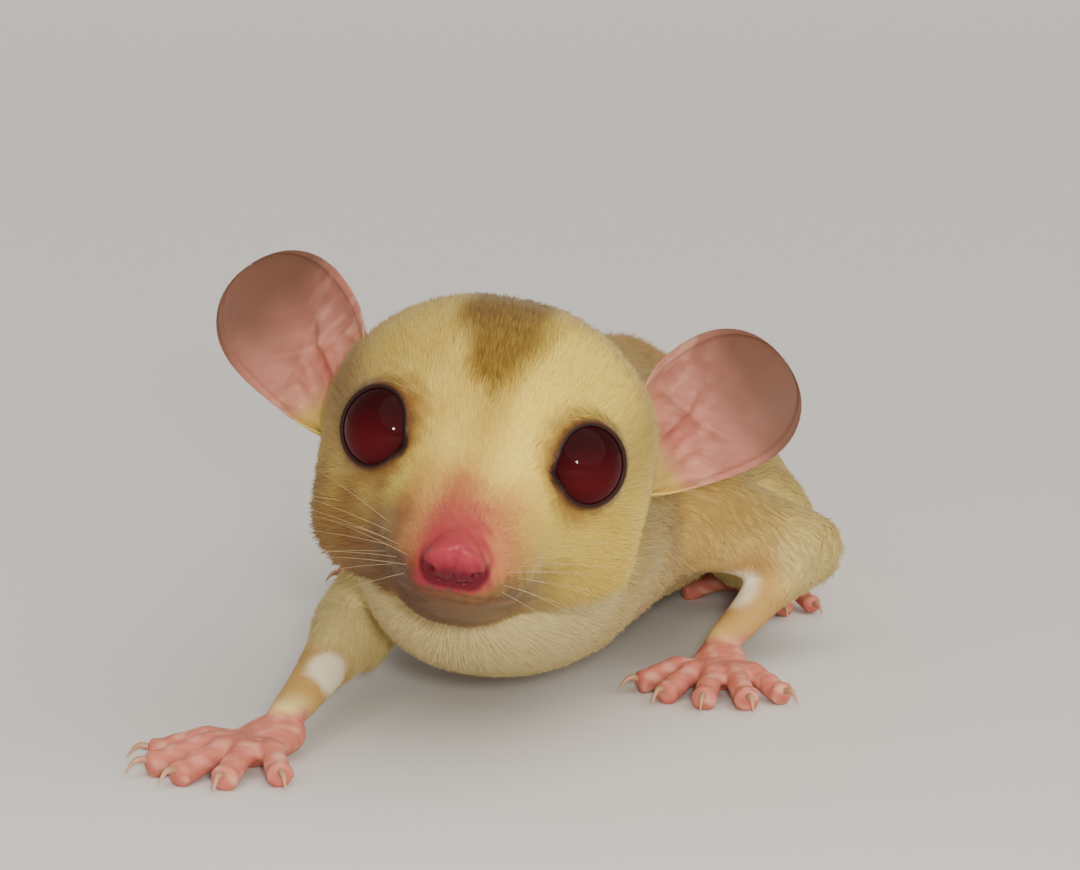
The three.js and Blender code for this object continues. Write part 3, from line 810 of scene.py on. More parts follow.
def trunk_markings(body, tint, colours, near_head, head_back, blotch):
    """The stripe along the back, the greyer flanks and nape, their grey partly painted shade, and the pale
    belly.
    """
    middle = carried([s[0] for s in TRUNK_STATIONS], place_along(body[:, 1]))
    across = np.abs(body[:, 0] - middle[:, 0])
    above = smooth(2.0, 8.0, body[:, 2] - middle[:, 2])
    on_back = above * smooth(8, 22, body[:, 1]) * (1 - near_head)
    stripe = smooth(4.6, 2.2, across + 0.8 * blotch) * on_back * smooth(150, 100, body[:, 1])
    tint = mix(tint, colours.golden, 0.3 * on_back * smooth(16, 6, across))
    tint = mix(tint, colours.stripe, 0.85 * stripe)
    below = smooth(2.0, -7.0, body[:, 2] - middle[:, 2]) * (1 - near_head) * smooth(118, 100, body[:, 1])
    # Painted shade in part: the greyer cream of flanks and nape is darkened as for a flank in shade.
    greyer = np.maximum(1 - near_head, smooth(-4, 14, head_back + blotch))
    tint = mix(tint, colours.flank, 0.8 * greyer * (1 - below))
    return mix(tint, colours.throat, 0.75 * below)


def crown_markings(head, tint, colours, near_head, blotch, fine):
    """Painted light as a clearer cream on the brow's left side, and the stripe that spreads from a point on
    the brow.
    """
    x, y, z = head.T
    # Painted light: the brow and cheek on the left are a clearer cream, as if lit from that side.
    lit = smooth(-5, 4, x) * smooth(6, 0, y) * smooth(-14, -9, z)
    tint = mix(tint, colours.bright, 0.8 * lit * near_head)
    spread = np.interp(y, STRIPE_BACKS, STRIPE_HALF_WIDTHS)
    crown = smooth(spread + 1.8, spread - 1.6, np.abs(x) + 0.5 * blotch + 0.3 * fine)
    crown *= smooth(-14.0, -6.5, y + 0.5 * fine) * smooth(1.5, 6.0, z) * near_head
    tint = mix(tint, colours.stripe, crown * (0.9 + 0.1 * fine))
    ahead = 0.3 * smooth(3.6, 0.5, np.abs(x)) * smooth(-17, -13, y)
    return mix(tint, colours.golden, ahead * (1 - crown) * near_head)


def face_markings(head, tint, colours, near_head, blotch, fine):
    """Pink muzzle and nose; brown jaw, chin and temples, partly the hair's colour and partly painted shade,
    deeper on the right and darker on the chin; and pale under the jaw.
    """
    x, y, z = head.T
    front = smooth(9, 1, y) * near_head
    # Painted shade: the face's right side is browner, as if in shade.
    shaded_side = smooth(6.0, -4.0, x)
    from_nose = np.linalg.norm((head - MUZZLE_MIDDLE) / [1.05, 1.0, 1.1], axis=1)
    muzzle = smooth(13.0, 5.5, from_nose + 0.8 * blotch)
    tint = mix(tint, colours.muzzle, 0.85 * muzzle * smooth(-7.0, -5.4, z + 0.3 * fine))
    # Painted shade: a little of the jaw's brown below the eyes.
    under_eyes_shade = smooth(3, 7, np.abs(x)) * smooth(2, -3, z) * smooth(-1, -6, y)
    tint = mix(tint, colours.jaw, 0.2 * under_eyes_shade * near_head)

    # Jaw and chin brown: partly the hair's colour, partly painted shade, most on the shaded side.
    jaw = smooth(-1.0, -8.0, z + 1.2 * blotch + 0.5 * fine) * (0.08 + 0.8 * shaded_side)
    jaw *= 1 - 0.2 * smooth(9, 13, np.abs(x))
    chin = smooth(-5.4, -8.4, z + 0.5 * fine) * smooth(-4, -16, y + blotch) * (0.8 + 0.15 * shaded_side)
    # Grey-brown below the nose, with painted shade deeper on the shaded side.
    lip = smooth(-5.2, -6.3, z + 0.3 * fine) * smooth(-15, -19, y) * (0.75 + 0.2 * shaded_side)
    tint = mix(tint, colours.jaw, np.maximum(jaw, chin) * front)
    # Painted shade: the chin darkened under the muzzle.
    tint = tint * (1 - 0.22 * chin * front)[:, None]
    tint = mix(tint, colours.lips, lip * front * (1 - 0.6 * smooth(-8.0, -9.0, z)))

    # Brown temples, partly painted shade, deeper on the shaded side.
    temple = np.exp(-(((np.abs(x) - TEMPLE_ACROSS) / 2.8) ** 2) - (((z - TEMPLE_UP) / 5.5) ** 2))
    temple = temple * smooth(6, 2, y)
    tint = mix(tint, colours.jaw, (0.45 + 0.3 * shaded_side) * temple * near_head)
    # Painted shade: on the shaded side the brown runs lower before the pale throat.
    above_edge = z - jaw_height(np.abs(x)) + 2.0 * shaded_side * smooth(3, 8, np.abs(x))
    tint = mix(tint, colours.throat, smooth(-0.2, -1.6, above_edge) * front)
    tint = mix(tint, colours.nose, 0.92 * nose_blush(head + 0.35 * fine[:, None]))
    # Painted shade deepens the pad's crimson on its lower part, where it turns under.
    tint = mix(tint, colours.nose_tip, nose_pad(head) * smooth(-2.8, -5.0, z + 0.2 * fine))
    return mix(tint, colours.lips, 0.55 * mouth_share(head))


def eye_markings(points, tint, colours, fine):
    """A soft brown ring round each eye, partly the hair's colour and partly painted shade, darker next to
    the lids, and the lids' dark rims.
    """
    for side in SIDES:
        rim = from_rim(points, side)
        # Partly the hair's brown, partly painted shade in the hollow round the eye, darkest next to the
        # lids.
        tint = mix(tint, colours.jaw, 0.6 * smooth(3.2, 1.2, rim + 0.3 * fine))
        tint = mix(tint, colours.eye_ring, smooth(1.7, 0.3, rim + 0.1 * fine))
        outside, off = from_lids(points, side)
        tint = mix(tint, colours.lids, smooth(0.45, 0.15, outside) * smooth(1.4, 0.9, off))
    return tint


def limb_markings(body, tint, colours, blotch):
    """Tan on tail, wrists and flank folds, tan on the shoulders as painted shade, and a white spot inside
    each wrist.
    """
    back = body[:, 1]
    tail = smooth(TAIL_START, TAIL_START + 18, back)
    tint = mix(tint, colours.golden, tail * (0.25 + 0.35 * smooth(TAIL_DEEPENS, 235, back) + 0.12 * blotch))
    tint = mix(tint, colours.pale, 0.9 * tail * smooth(TAIL_TIP, TAIL_TIP + 10, back))
    for (kind, side), (joints, _) in LEGS.items():
        wrist = np.array(joints[2], float)
        elbow = np.array(joints[1], float)
        to_wrist = np.linalg.norm(body - (wrist + 0.3 * (elbow - wrist)), axis=1)
        tint = mix(tint, colours.golden, 0.7 * smooth(9.0, 4.0, to_wrist + blotch))
        if kind == "fore":
            # Painted shade: tan laid over each shoulder.
            shoulder = np.linalg.norm(body - np.array(joints[0], float), axis=1)
            tan = 0.35 * smooth(16.0, 7.0, shoulder + blotch) * smooth(14, 20, back)
            tint = mix(tint, colours.golden, tan)
            spot = wrist + 0.42 * (elbow - wrist) + np.array([-SIDES[side] * 3.2, -1.0, 1.5])
            to_spot = np.linalg.norm(body - spot, axis=1)
            tint = mix(tint, colours.white, smooth(4.2, 2.6, to_spot + 0.4 * blotch))
    for side, (start, end) in FOLD_ENDS.items():
        low = smooth(12.5, 8.0, body[:, 2]) * smooth(start - 4, start + 3, back) * smooth(end + 8, end, back)
        edge = np.abs(body[:, 0]) - FOLD_EDGE
        on_side = np.sign(body[:, 0]) == SIDES[side]
        tint = mix(tint, colours.golden, 0.65 * low * smooth(0, 2.5, edge) * on_side)
    return tint


def ear_share(points):
    """1 on the ears and 0 on the head, with a soft line across their feet."""
    head = in_head(points)
    share = np.zeros(len(points))
    for side in SIDES:
        across, behind, up_it = ear_coordinates(head, SIDES[side])
        near = smooth(11.5, 9.5, np.abs(across)) * smooth(9, 7, np.abs(behind))
        share = np.maximum(share, near * smooth(1.2, 3.6, up_it + 0.1 * across))
    return share


def paw_share(points):
    """1 on the bare paws and 0 on the furred legs."""
    body = points - BODY_SHIFT
    share = np.zeros(len(points))
    for (kind, side), (joints, turn) in LEGS.items():
        local = (body - np.array([joints[2][0], joints[2][1], 0])) @ turned(UP, turn)
        reach = PALMS[kind][0] + 14
        near = smooth(13, 11, np.abs(local[:, 0])) * smooth(-reach - 2, -reach, local[:, 1])
        share = np.maximum(share, near * smooth(5.6, 4.0, body[:, 2]) * smooth(3.4, 0.8, local[:, 1]))
    return share


def skin_tint(points, colours):
    """Markings, with the ears, the paws and the muzzle's skin bare: veined mauve, pink and rose."""
    tint = markings(points, colours)
    fine = mottle(points, 1.1, 21)
    broad = mottle(points, 6.0, 22)
    ears = ear_share(points)
    bare = np.broadcast_to(np.array(colours.ears), points.shape).copy()
    head = in_head(points)
    crumpled = smooth(0.1, 0.8, mottle(points, 2.6, 23))
    for side in SIDES:
        across, behind, up_it = ear_coordinates(head, SIDES[side])
        here = np.sign(head[:, 0]) == SIDES[side]
        bare = mix(bare, colours.ear_rim, here * smooth(7.5, 15.0, up_it + 0.5 * broad))
        foot = smooth(9.5, 4.0, up_it + 0.4 * np.abs(across) + 0.8 * broad)
        bare = mix(bare, colours.ear_foot, here * foot)
        # Deeper rose in each ear's hollow: pinker skin with painted shade.
        hollow = np.exp(-((across / 2.0) ** 2) - (((up_it - 4.0) / 2.6) ** 2))
        bare = mix(bare, colours.nose, 0.45 * here * hollow)
        # Whitish pink on the crumpled folds: the skin's paler tone with painted highlight.
        folds = 0.22 * here * crumpled * smooth(11, 6, up_it + 0.5 * across)
        bare = mix(bare, colours.pale_skin, folds * (1 - hollow))
    bare = mix(bare, colours.ear_rim, 0.1 + 0.1 * fine)
    tint = mix(tint, bare, ears)
    paws = paw_share(points)
    pink = np.broadcast_to(np.array(colours.paws), points.shape).copy()
    low = smooth(2.2, 0.4, (points - BODY_SHIFT)[:, 2])
    pink = mix(pink, colours.nose, 0.14 + 0.16 * low + 0.12 * fine)
    pink = mix(pink, colours.pale_skin, 0.45 * smooth(0.0, 0.9, mottle(points, 2.2, 24)))
    return mix(tint, pink, paws)


def put_mesh(name, vertices, triangles):
    """A mesh object at the origin from an array of points and one of triangles, smoothly shaded."""
    mesh = bpy.data.meshes.new(name)
    mesh.vertices.add(len(vertices))
    mesh.vertices.foreach_set("co", np.ravel(vertices).astype(np.float32))
    mesh.loops.add(len(triangles) * 3)
    mesh.loops.foreach_set("vertex_index", np.ravel(triangles).astype(np.int32))
    mesh.polygons.add(len(triangles))
    mesh.polygons.foreach_set("loop_start", np.arange(0, len(triangles) * 3, 3, dtype=np.int32))
    mesh.update(calc_edges=True)
    mesh.shade_smooth()
    made = bpy.data.objects.new(name, mesh)
    bpy.context.scene.collection.objects.link(made)
    return made


def with_modifiers(made):
    """The points and triangles of an object as its modifiers leave it; the object goes."""
    graph = bpy.context.evaluated_depsgraph_get()
    mesh = bpy.data.meshes.new_from_object(made.evaluated_get(graph))
    points = np.empty(len(mesh.vertices) * 3, np.float32)
    mesh.vertices.foreach_get("co", points)
    mesh.calc_loop_triangles()
    triangles = np.empty(len(mesh.loop_triangles) * 3, np.int32)
    mesh.loop_triangles.foreach_get("vertices", triangles)
    bpy.data.meshes.remove(mesh)
    old = made.data
    bpy.data.objects.remove(made)
    bpy.data.meshes.remove(old)
    return points.reshape(-1, 3).astype(float), triangles.reshape(-1, 3)


def along_each(surfaces):
    """The share of the way along its body, 0 to 1, for each vertex of the surfaces' stacked meshes."""
    rows, columns = surfaces[0].points.shape[:2]
    along = np.concatenate([np.repeat(np.linspace(0, 1, rows), columns), [0, 1]])
    return np.tile(along, len(surfaces))[:, None]


def stacked(bodies):
    """Several bodies' points and triangles as one pair of arrays."""
    starts = np.cumsum([0] + [len(vertices) for vertices, _ in bodies[:-1]])
    triangles = [triangles + start for start, (_, triangles) in zip(starts, bodies)]
    return np.concatenate([vertices for vertices, _ in bodies]), np.concatenate(triangles)


def combined(base, others, operation="UNION"):
    """A body with others added to it or cut from it, all as points and triangles in millimetres."""
    whole = put_mesh("whole", *base)
    tools = [put_mesh(f"tool_{index}", *other) for index, other in enumerate(others)]
    for tool in tools:
        change = whole.modifiers.new(tool.name, "BOOLEAN")
        change.solver = "MANIFOLD"
        change.operation = operation
        change.object = tool
    points, triangles = with_modifiers(whole)
    for tool in tools:
        mesh = tool.data
        bpy.data.objects.remove(tool)
        bpy.data.meshes.remove(mesh)
    if len(triangles) < len(base[1]) / 4:
        raise RuntimeError(f"{operation} left only {len(triangles)} of {len(base[1])} triangles")
    return points, triangles


def melted(bodies, cell):
    """Overlapping bodies as one, by a voxel remesh with cells of that size in millimetres."""
    whole = put_mesh("melted", *stacked(bodies))
    change = whole.modifiers.new("melt", "REMESH")
    change.mode = "VOXEL"
    change.voxel_size = cell
    return with_modifiers(whole)


def relaxed(points, triangles, weight, rounds):
    """Each point drawn towards the mean of its neighbours by its weight, in so many rounds."""
    edges = np.concatenate([triangles[:, [0, 1]], triangles[:, [1, 2]], triangles[:, [2, 0]]])
    edges = np.unique(np.sort(edges, axis=1), axis=0)
    a, b = edges.T
    count = len(points)
    neighbours = np.maximum(np.bincount(a, minlength=count) + np.bincount(b, minlength=count), 1)
    share = 0.6 * np.broadcast_to(weight, count)[:, None]
    for _ in range(rounds):
        total = np.stack([
            np.bincount(a, points[b, axis], count) + np.bincount(b, points[a, axis], count)
            for axis in range(3)
        ], 1)
        points = points + (total / neighbours[:, None] - points) * share
    return points


def corner_normals(points, triangles):
    """The normal at each vertex, as the sum of its triangles' normals by area."""
    a, b, c = (points[triangles[:, corner]] for corner in range(3))
    face = np.cross(b - a, c - a)
    total = np.zeros_like(points)
    for axis in range(3):
        for corner in range(3):
            total[:, axis] += np.bincount(triangles[:, corner], face[:, axis], len(points))
    return unit(total)


# Cell of the remesh that melts palm and digits together
PAW_CELL = 0.32


@functools.cache
def skin_shape():
    """Points and triangles of the one skin, in millimetres.

    Trunk, tail, legs, folds and head are added together and the creases between them smoothed.
    Lids, nose, ears and paws follow, smoothed where they join, and the eyeballs and the openings
    over them are cut out. The soles are level with the floor.
    """
    parts = flesh()
    limbs = [parts[name].mesh_data() for name in parts if name.startswith(("tail", "fore", "hind", "fold"))]
    points, triangles = combined(parts["trunk"].mesh_data(), limbs)
    behind_head = smooth(19, 26, np.linalg.norm(points - SKULL, axis=1))
    points = relaxed(points, triangles, behind_head * smooth(4.0, 7.0, points[:, 2]), 14)
    points, triangles = combined((points, triangles), [parts["head"].mesh_data()])
    neck = smooth(9, 14, in_head(points)[:, 1]) * smooth(34, 28, np.linalg.norm(points - SKULL, axis=1))
    points = relaxed(points, triangles, neck, 14)

    paws = []
    for kind, side in LEGS:
        shape, faces = melted([surface.mesh_data() for surface in paw_surfaces(kind, side)], PAW_CELL)
        paws.append((relaxed(shape, faces, 1.0, 3), faces))
    lids = [lid_surface(side).mesh_data() for side in SIDES]
    points, triangles = combined((points, triangles), lids)
    band = np.zeros(len(points))
    for side in SIDES:
        outside, off = from_lids(points, side)
        beside = smooth(0.9, 1.7, outside) * smooth(7.0, 5.0, outside) * smooth(3.5, 2.0, np.abs(off))
        band = np.maximum(band, beside)
    points = relaxed(points, triangles, band, 26)
    rest = [parts[name].mesh_data() for name in ("nose", "ear_left", "ear_right")]
    points, triangles = combined((points, triangles), rest + paws)
    foot = ear_share(points)
    wrist = paw_share(points)
    seams = 4 * np.maximum(foot * (1 - foot), wrist * (1 - wrist))
    points = relaxed(points, triangles, np.clip(seams, 0, 1), 6)
    pad = in_head(points)
    reach = from_pad(pad)
    border = smooth(0.82, 1.0, reach) * smooth(1.7, 1.3, reach) * smooth(-5.4, -3.6, pad[:, 2])
    points = relaxed(points, triangles, border, 70)
    cuts = [ball_surface(side, EYE_RADIUS + 0.03).mesh_data() for side in SIDES]
    cuts += [opening_plug(side).mesh_data() for side in SIDES]
    points, triangles = combined((points, triangles), cuts, "DIFFERENCE")
    points[:, 2] = np.maximum(points[:, 2], 0)
    return points, triangles


@functools.cache
def skin_finder():
    """A tree that finds the nearest triangle of the skin, and the normals at its vertices."""
    points, triangles = skin_shape()
    return BVHTree.FromPolygons(points.tolist(), triangles.tolist()), corner_normals(points, triangles)


def on_skin(points, limit):
    """The nearest places on the skin with their normals, and which points lie within the limit of it."""
    tree, normals = skin_finder()
    triangles = skin_shape()[1]
    found = [tree.find_nearest(point, limit) for point in points.tolist()]
    near = np.array([hit[0] is not None for hit in found], bool)
    places = np.array([hit[0] for hit in found if hit[0] is not None], float).reshape(-1, 3)
    faces = np.array([hit[2] for hit in found if hit[0] is not None], int)
    return places, unit(normals[triangles[faces]].sum(1)), near


# How far a root may lie from the skin, and how well its own surface and the skin must agree on the
# way out, so that no tuft grows in a crease
HEAD_TO_SKIN = 2.8
OTHERS_TO_SKIN = 1.1
OPEN_SKIN = 0.6
# Size of a tuft's patch on the map for baking, and how deep its root stands in the skin
PATCH = 0.003
ROOT_DEPTH = 0.06
# A tuft's corners across its width and up its ridge, and their places on its patch, with its tip
TUFT_CORNERS = ((-1, 0), (1, 0), (0, 0.75))
TUFT_PATCH = ((0, 0), (1, 0), (0.5, 0), (0.5, 1))
# How much of a tuft's shading is the skin's, and how much its colour strays from its neighbours'
SOFTNESS = 0.86
STRAY = 0.07


class Growth:
    """What tufts know where they grow: their roots, the skin's normal and the coat's lie there."""

    def __init__(self, names, count, density, rng):
        """Roots over the named surfaces: scattered by density, then set on the finished skin.

        Each root keeps its place on its own surface, in that surface's cell of the unit square.
        """
        parts = grounds()
        weights = []
        for name in names:
            middles = parts[name].points[::3, ::3].reshape(-1, 3)
            weights.append(parts[name].area() * density(middles, name).mean())
        shares = np.round(count * np.array(weights) / sum(weights)).astype(int)
        cells = int(np.ceil(np.sqrt(len(names))))
        gathered = []
        for index, (name, share) in enumerate(zip(names, shares)):
            thickness = functools.partial(density, name=name)
            points, facing, along, place = parts[name].sample(share, thickness, rng)
            limit = HEAD_TO_SKIN if name == "head" else OTHERS_TO_SKIN
            near_points, normals, near = on_skin(points, limit)
            corner = np.array(divmod(index, cells))
            leg = np.full(near.sum(), name.startswith(("fore", "hind")), float)
            upper = leg * name.endswith("upper")
            places = (place[near] * 0.99 + corner) / cells
            open_skin = (facing[near] * normals).sum(1) > OPEN_SKIN
            columns = (near_points, normals, along[near], places, leg, upper)
            gathered.append([column[open_skin] for column in columns])
        joined = (np.concatenate(column) for column in zip(*gathered))
        self.roots, self.normals, along, self.places, self.leg, self.upper = joined
        self.lie = self.flat(along)
        self.head = in_head(self.roots)
        self.rng = rng

    def flat(self, vectors):
        """Vectors laid into the skin's tangent plane."""
        return unit(vectors - self.normals * (vectors * self.normals).sum(1)[:, None])

    def keep(self, chosen):
        """Drops the roots that aren't chosen."""
        for name in ("roots", "normals", "places", "lie", "head", "leg", "upper"):
            setattr(self, name, getattr(self, name)[chosen])

    def lean(self, vectors, strength):
        """Turns the lie towards vectors, laid flat, by a strength for each root or for all."""
        strength = np.broadcast_to(strength, len(self.roots))[:, None]
        self.lie = self.flat(self.lie + self.flat(np.broadcast_to(vectors, self.roots.shape)) * strength)

    def ruffle(self, clump, strength, jitter, seed):
        """Clumps: the lie wanders smoothly over a clump's width, and each tuft strays a little."""
        stray = drift(self.roots, clump, seed) * strength
        stray += self.rng.normal(size=self.roots.shape) * jitter
        self.lie = self.flat(self.lie + stray)

    def tufts(self, length, width, lift, droop):
        """Three-sided spikes as points, triangles, shading normals, places and shares of the length.

        Three corners, the third on the ridge, stand at the root, and the tip is one point. The tuft
        leaves the skin at `lift`, and its tip hangs lower by `droop` of the length. Shading normals
        are mostly the skin's own, so that the coat reads as one soft body.
        """
        side = np.cross(self.lie, self.normals)
        start = self.roots - self.normals * ROOT_DEPTH
        points, normals = [], []
        for across, up in TUFT_CORNERS:
            away = side * across + self.normals * up
            points.append(start + away * (width / 2)[:, None])
            normals.append(unit(self.normals * SOFTNESS + unit(away) * (1 - SOFTNESS)))
        climb = length * (np.sin(lift) - droop)
        points.append(start + self.lie * (length * np.cos(lift))[:, None] + self.normals * climb[:, None])
        normals.append(unit(self.normals + self.lie * 0.25))
        corners = len(TUFT_CORNERS)
        pattern = [(0, 1, 2)] + [((corner + 1) % corners, corner, corners) for corner in range(corners)]
        count = len(self.roots)
        triangles = np.array(pattern)[None] + (np.arange(count) * (corners + 1))[:, None, None]
        places = self.places[:, None] + np.array(TUFT_PATCH)[None] * PATCH
        shares = np.tile([0.0, 0.0, 0.0, 1.0], count)
        points = np.stack(points, 1).reshape(-1, 3)
        points[:, 2] = np.maximum(points[:, 2], 0.02)
        normals = np.stack(normals, 1).reshape(-1, 3)
        return points, triangles.reshape(-1, 3), normals, places.reshape(-1, 2), shares


def coat_piece(name, growth, tint_at, length, width, lift, droop, shade=(0.74, 1.08)):
    """One piece of coat: tufts in the markings' colours, shaded from the root to the tip."""
    vertices, triangles, normals, places, shares = growth.tufts(length, width, lift, droop)
    made = put_mesh(name, vertices * MM, triangles)
    mesh = made.data
    corners = len(vertices) // len(growth.roots)
    tint = tint_at(growth.roots + growth.lie * (length * 0.3)[:, None])
    tint = tint * (1 + growth.rng.normal(size=(len(tint), 1)) * STRAY)
    tint = np.repeat(tint, corners, axis=0) * (shade[0] + (shade[1] - shade[0]) * shares**0.7)[:, None]
    put_tint(mesh, tint)
    held = mesh.attributes.new("custom_normal", "FLOAT_VECTOR", "POINT")
    held.data.foreach_set("vector", np.ravel(normals).astype(np.float32))
    layer = mesh.uv_layers.new(name="OFBake")
    layer.data.foreach_set("uv", np.ravel(places[triangles.ravel()]).astype(np.float32))
    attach(made, "root")
    return made


def put_tint(mesh, tint):
    """Keeps a colour at each vertex, for the material."""
    held = mesh.color_attributes.new("tint", "FLOAT_COLOR", "POINT")
    whole = np.ones((len(tint), 4), np.float32)
    whole[:, :3] = np.clip(tint, 0, 1)
    held.data.foreach_set("color", whole.ravel())


def put_share(mesh, name, share):
    """Keeps a number at each vertex, for the material."""
    held = mesh.attributes.new(name, "FLOAT", "POINT")
    held.data.foreach_set("value", np.ravel(share).astype(np.float32))


# How far back the face's piece of coat reaches, where the tail's two pieces meet, and the density
# of bare places, which isn't quite 0, so that the shares always add up
FACE_BACK = -3.0
TAIL_MIDDLE = 178
BARE = 1e-9
# Length of the crown's hair and width of its tufts, in metres
CROWN_LENGTH = 0.0027
CROWN_WIDTH = 0.00024


def clear_of_eyes(points):
    """0 at the rims of the lids and inside them, 1 from a third of a millimetre outside."""
    clear = np.ones(len(points))
    for side in SIDES:
        outside, off = from_lids(points, side)
        clear *= 1 - smooth(0.36, 0.16, outside) * smooth(4.0, 3.0, np.abs(off))
    return clear


def head_density(points, name, part):
    """Tufts on the head: closest on the muzzle, none on the nose pad or in the eyes."""
    head = in_head(points)
    x, y, z = head.T
    dense = 1 + 1.6 * smooth(-6, -16, y)
    dense *= (1 - nose_pad(head)) * clear_of_eyes(points) * smooth(34, 30, np.linalg.norm(head, axis=1))
    dense *= 1 - 0.7 * mouth_share(head)
    if name.startswith("lid"):
        dense *= from_lids(points, name[4:])[1] > -0.2
    if part == "face":
        return dense * (y < FACE_BACK) + BARE
    return dense * (y >= FACE_BACK) * (x * SIDES[part] > 0) + BARE


def groom_head(growth, sizes):
    """The lie and the lengths on the head.

    Hairs run back from the nose, part round the eyes and droop on the cheeks. They are longest on
    the cheeks, the nape and in front of the ears' feet, and shortest on the muzzle and the lids.
    """
    x, y, z = growth.head.T
    short = np.ones(len(growth.roots))
    for side in SIDES:
        rim = from_rim(growth.roots, side)
        near = smooth(3.2, 0.6, rim)
        inward = growth.flat(EYES[side] + lid_axes(side)[0] * EYE_RADIUS - growth.roots)
        heading_in = np.maximum((growth.lie * inward).sum(1), 0)
        growth.lean(-inward, 1.15 * heading_in * near)
        short = np.minimum(short, 1 - 0.72 * smooth(2.8, 0.5, rim))
    growth.lean(-UP, 0.3 * smooth(4, -4, z) * smooth(-11, -7, z) * smooth(-20, -12, y))
    ears = np.zeros(len(growth.roots))
    for side in SIDES:
        across, behind, up_it = ear_coordinates(growth.head, SIDES[side])
        near = smooth(9, 5, np.hypot(np.minimum(np.abs(across) - 2, 8), behind)) * smooth(-5, -1, up_it)
        near *= smooth(12, 4, up_it)
        ears = np.maximum(ears, near)
        growth.lean(HEAD_TURN @ (EAR_ALONG * [SIDES[side], 1, 1]), 1.2 * near * (x * SIDES[side] > 0))
    from_nose = np.linalg.norm(growth.head - np.array([0, -23.0, -4.5]), axis=1)
    length = np.interp(from_nose, [2.5, 5, 8, 13, 20, 30, 42], [0.45, 0.6, 0.9, 1.35, 1.9, 2.5, 4.2]) * short
    jowl = smooth(6, 10, np.abs(x)) * smooth(-6, -10, z) * smooth(10, 2, y)
    growth.lean(-UP, 0.5 * jowl)
    chin = smooth(-8.0, -10.0, z) * smooth(-8, -14, y)
    length = length * (1 + 0.2 * ears + 0.2 * jowl + 0.3 * chin)
    width = np.interp(from_nose, [3, 8, 14, 30], [0.09, 0.13, 0.16, 0.22]) * (0.6 + 0.4 * short)
    lift = (np.interp(from_nose, [3, 12, 25], [12, 17, 22]) + 10 * chin) * DEGREE
    lift = lift * growth.rng.uniform(0.6, 1.25, len(lift))
    return length * sizes.head_length / CROWN_LENGTH, width * sizes.hair_width / CROWN_WIDTH, lift


def body_density(points, name, part):
    """Tufts on the trunk and the legs: closest on the chest, which the face lies next to."""
    body = points - BODY_SHIFT
    back = body[:, 1]
    chest = smooth(30, 24, back) if name == "trunk" else np.zeros(len(points))
    dense = 1 + 1.3 * smooth(30, 5, back)
    if part == "chest":
        return dense * chest + BARE
    return dense * (1 - chest) + BARE


def groom_body(growth, sizes):
    """Backwards along the trunk and down its sides, and shorter and flatter down the legs."""
    body = growth.roots - BODY_SHIFT
    growth.lean(-UP, 0.3)
    growth.lean(np.array([0, 0.8, -0.6]), 2.5 * growth.upper)
    growth.lean(-UP, 1.0 * (growth.leg - growth.upper))
    low = smooth(9.0, 4.0, body[:, 2])
    to_paw = np.ones(len(body))
    for joints, _ in LEGS.values():
        wrist = np.array(joints[2], float)
        to_paw = np.minimum(to_paw, smooth(3.0, 17.0, np.linalg.norm(body - wrist, axis=1)))
    throat = smooth(16, 4, body[:, 1])
    length = sizes.body_length / MM * (0.26 + 0.74 * to_paw) * (1 - 0.35 * throat)
    under = smooth(4.5, 2.0, body[:, 2]) * smooth(0.6, 1.0, to_paw)
    length = length * (1 - 0.45 * under) * (1 - 0.55 * growth.leg)
    width = 0.27 * (0.6 + 0.4 * to_paw) * (1 - 0.25 * growth.leg) * (1 - 0.2 * throat)
    width = width * sizes.hair_width / CROWN_WIDTH
    lift = (12 - 4 * low - 2 * growth.leg) * DEGREE * growth.rng.uniform(0.55, 1.25, len(length))
    return length, width, lift


def tail_density(points, name, part):
    """Tufts on one half of the tail, none where its root is inside the trunk."""
    back = (points - BODY_SHIFT)[:, 1]
    half = back < TAIL_MIDDLE
    return (half if part == "root" else ~half) * smooth(96, 104, back) + BARE


def groom_tail(growth, sizes):
    """Long soft hair that stands out from the tail and runs to a point past its end."""
    back = (growth.roots - BODY_SHIFT)[:, 1]
    thick = np.interp(back, [100, 125, 230, 262, 280], [0.55, 1.0, 1.0, 0.75, 0.5])
    low = smooth(5.5, 2.0, growth.roots[:, 2])
    length = sizes.tail_length / MM * thick * growth.rng.uniform(0.75, 1.08, len(back))
    width = np.full(len(back), 0.3) * sizes.hair_width / CROWN_WIDTH
    lift = np.interp(back, [100, 130, 240, 275], [20, 31, 27, 12]) * DEGREE
    lift = lift * growth.rng.uniform(0.6, 1.12, len(back)) * (1 - 0.5 * low)
    return length, width, lift


def fuzz_density(points, name):
    """Down on ears and paws: more at the ears' feet and edges."""
    if name.startswith("ear"):
        head = in_head(points)
        across, behind, up_it = ear_coordinates(head, SIDES[name[4:]])
        return 0.6 + 1.6 * smooth(6, 1, up_it) + 0.8 * smooth(5, 8, np.abs(across))
    return np.ones(len(points))


class Wire:
    """A socket of a shader on which sums of numbers are written as plain expressions."""

    def __init__(self, tree, socket):
        self.tree = tree
        self.socket = socket

    def joined(self, operation, first, second):
        node = self.tree.nodes.new("ShaderNodeMath")
        node.operation = operation
        for place, value in zip(node.inputs, (first, second)):
            if isinstance(value, Wire):
                self.tree.links.new(value.socket, place)
            else:
                place.default_value = value
        return Wire(self.tree, node.outputs[0])

    def __add__(self, other):
        return self.joined("ADD", self, other)

    __radd__ = __add__

    def __sub__(self, other):
        return self.joined("SUBTRACT", self, other)

    def __rsub__(self, other):
        return self.joined("SUBTRACT", other, self)

    def __mul__(self, other):
        return self.joined("MULTIPLY", self, other)

    __rmul__ = __mul__

    def __pow__(self, other):
        return self.joined("POWER", self, other)


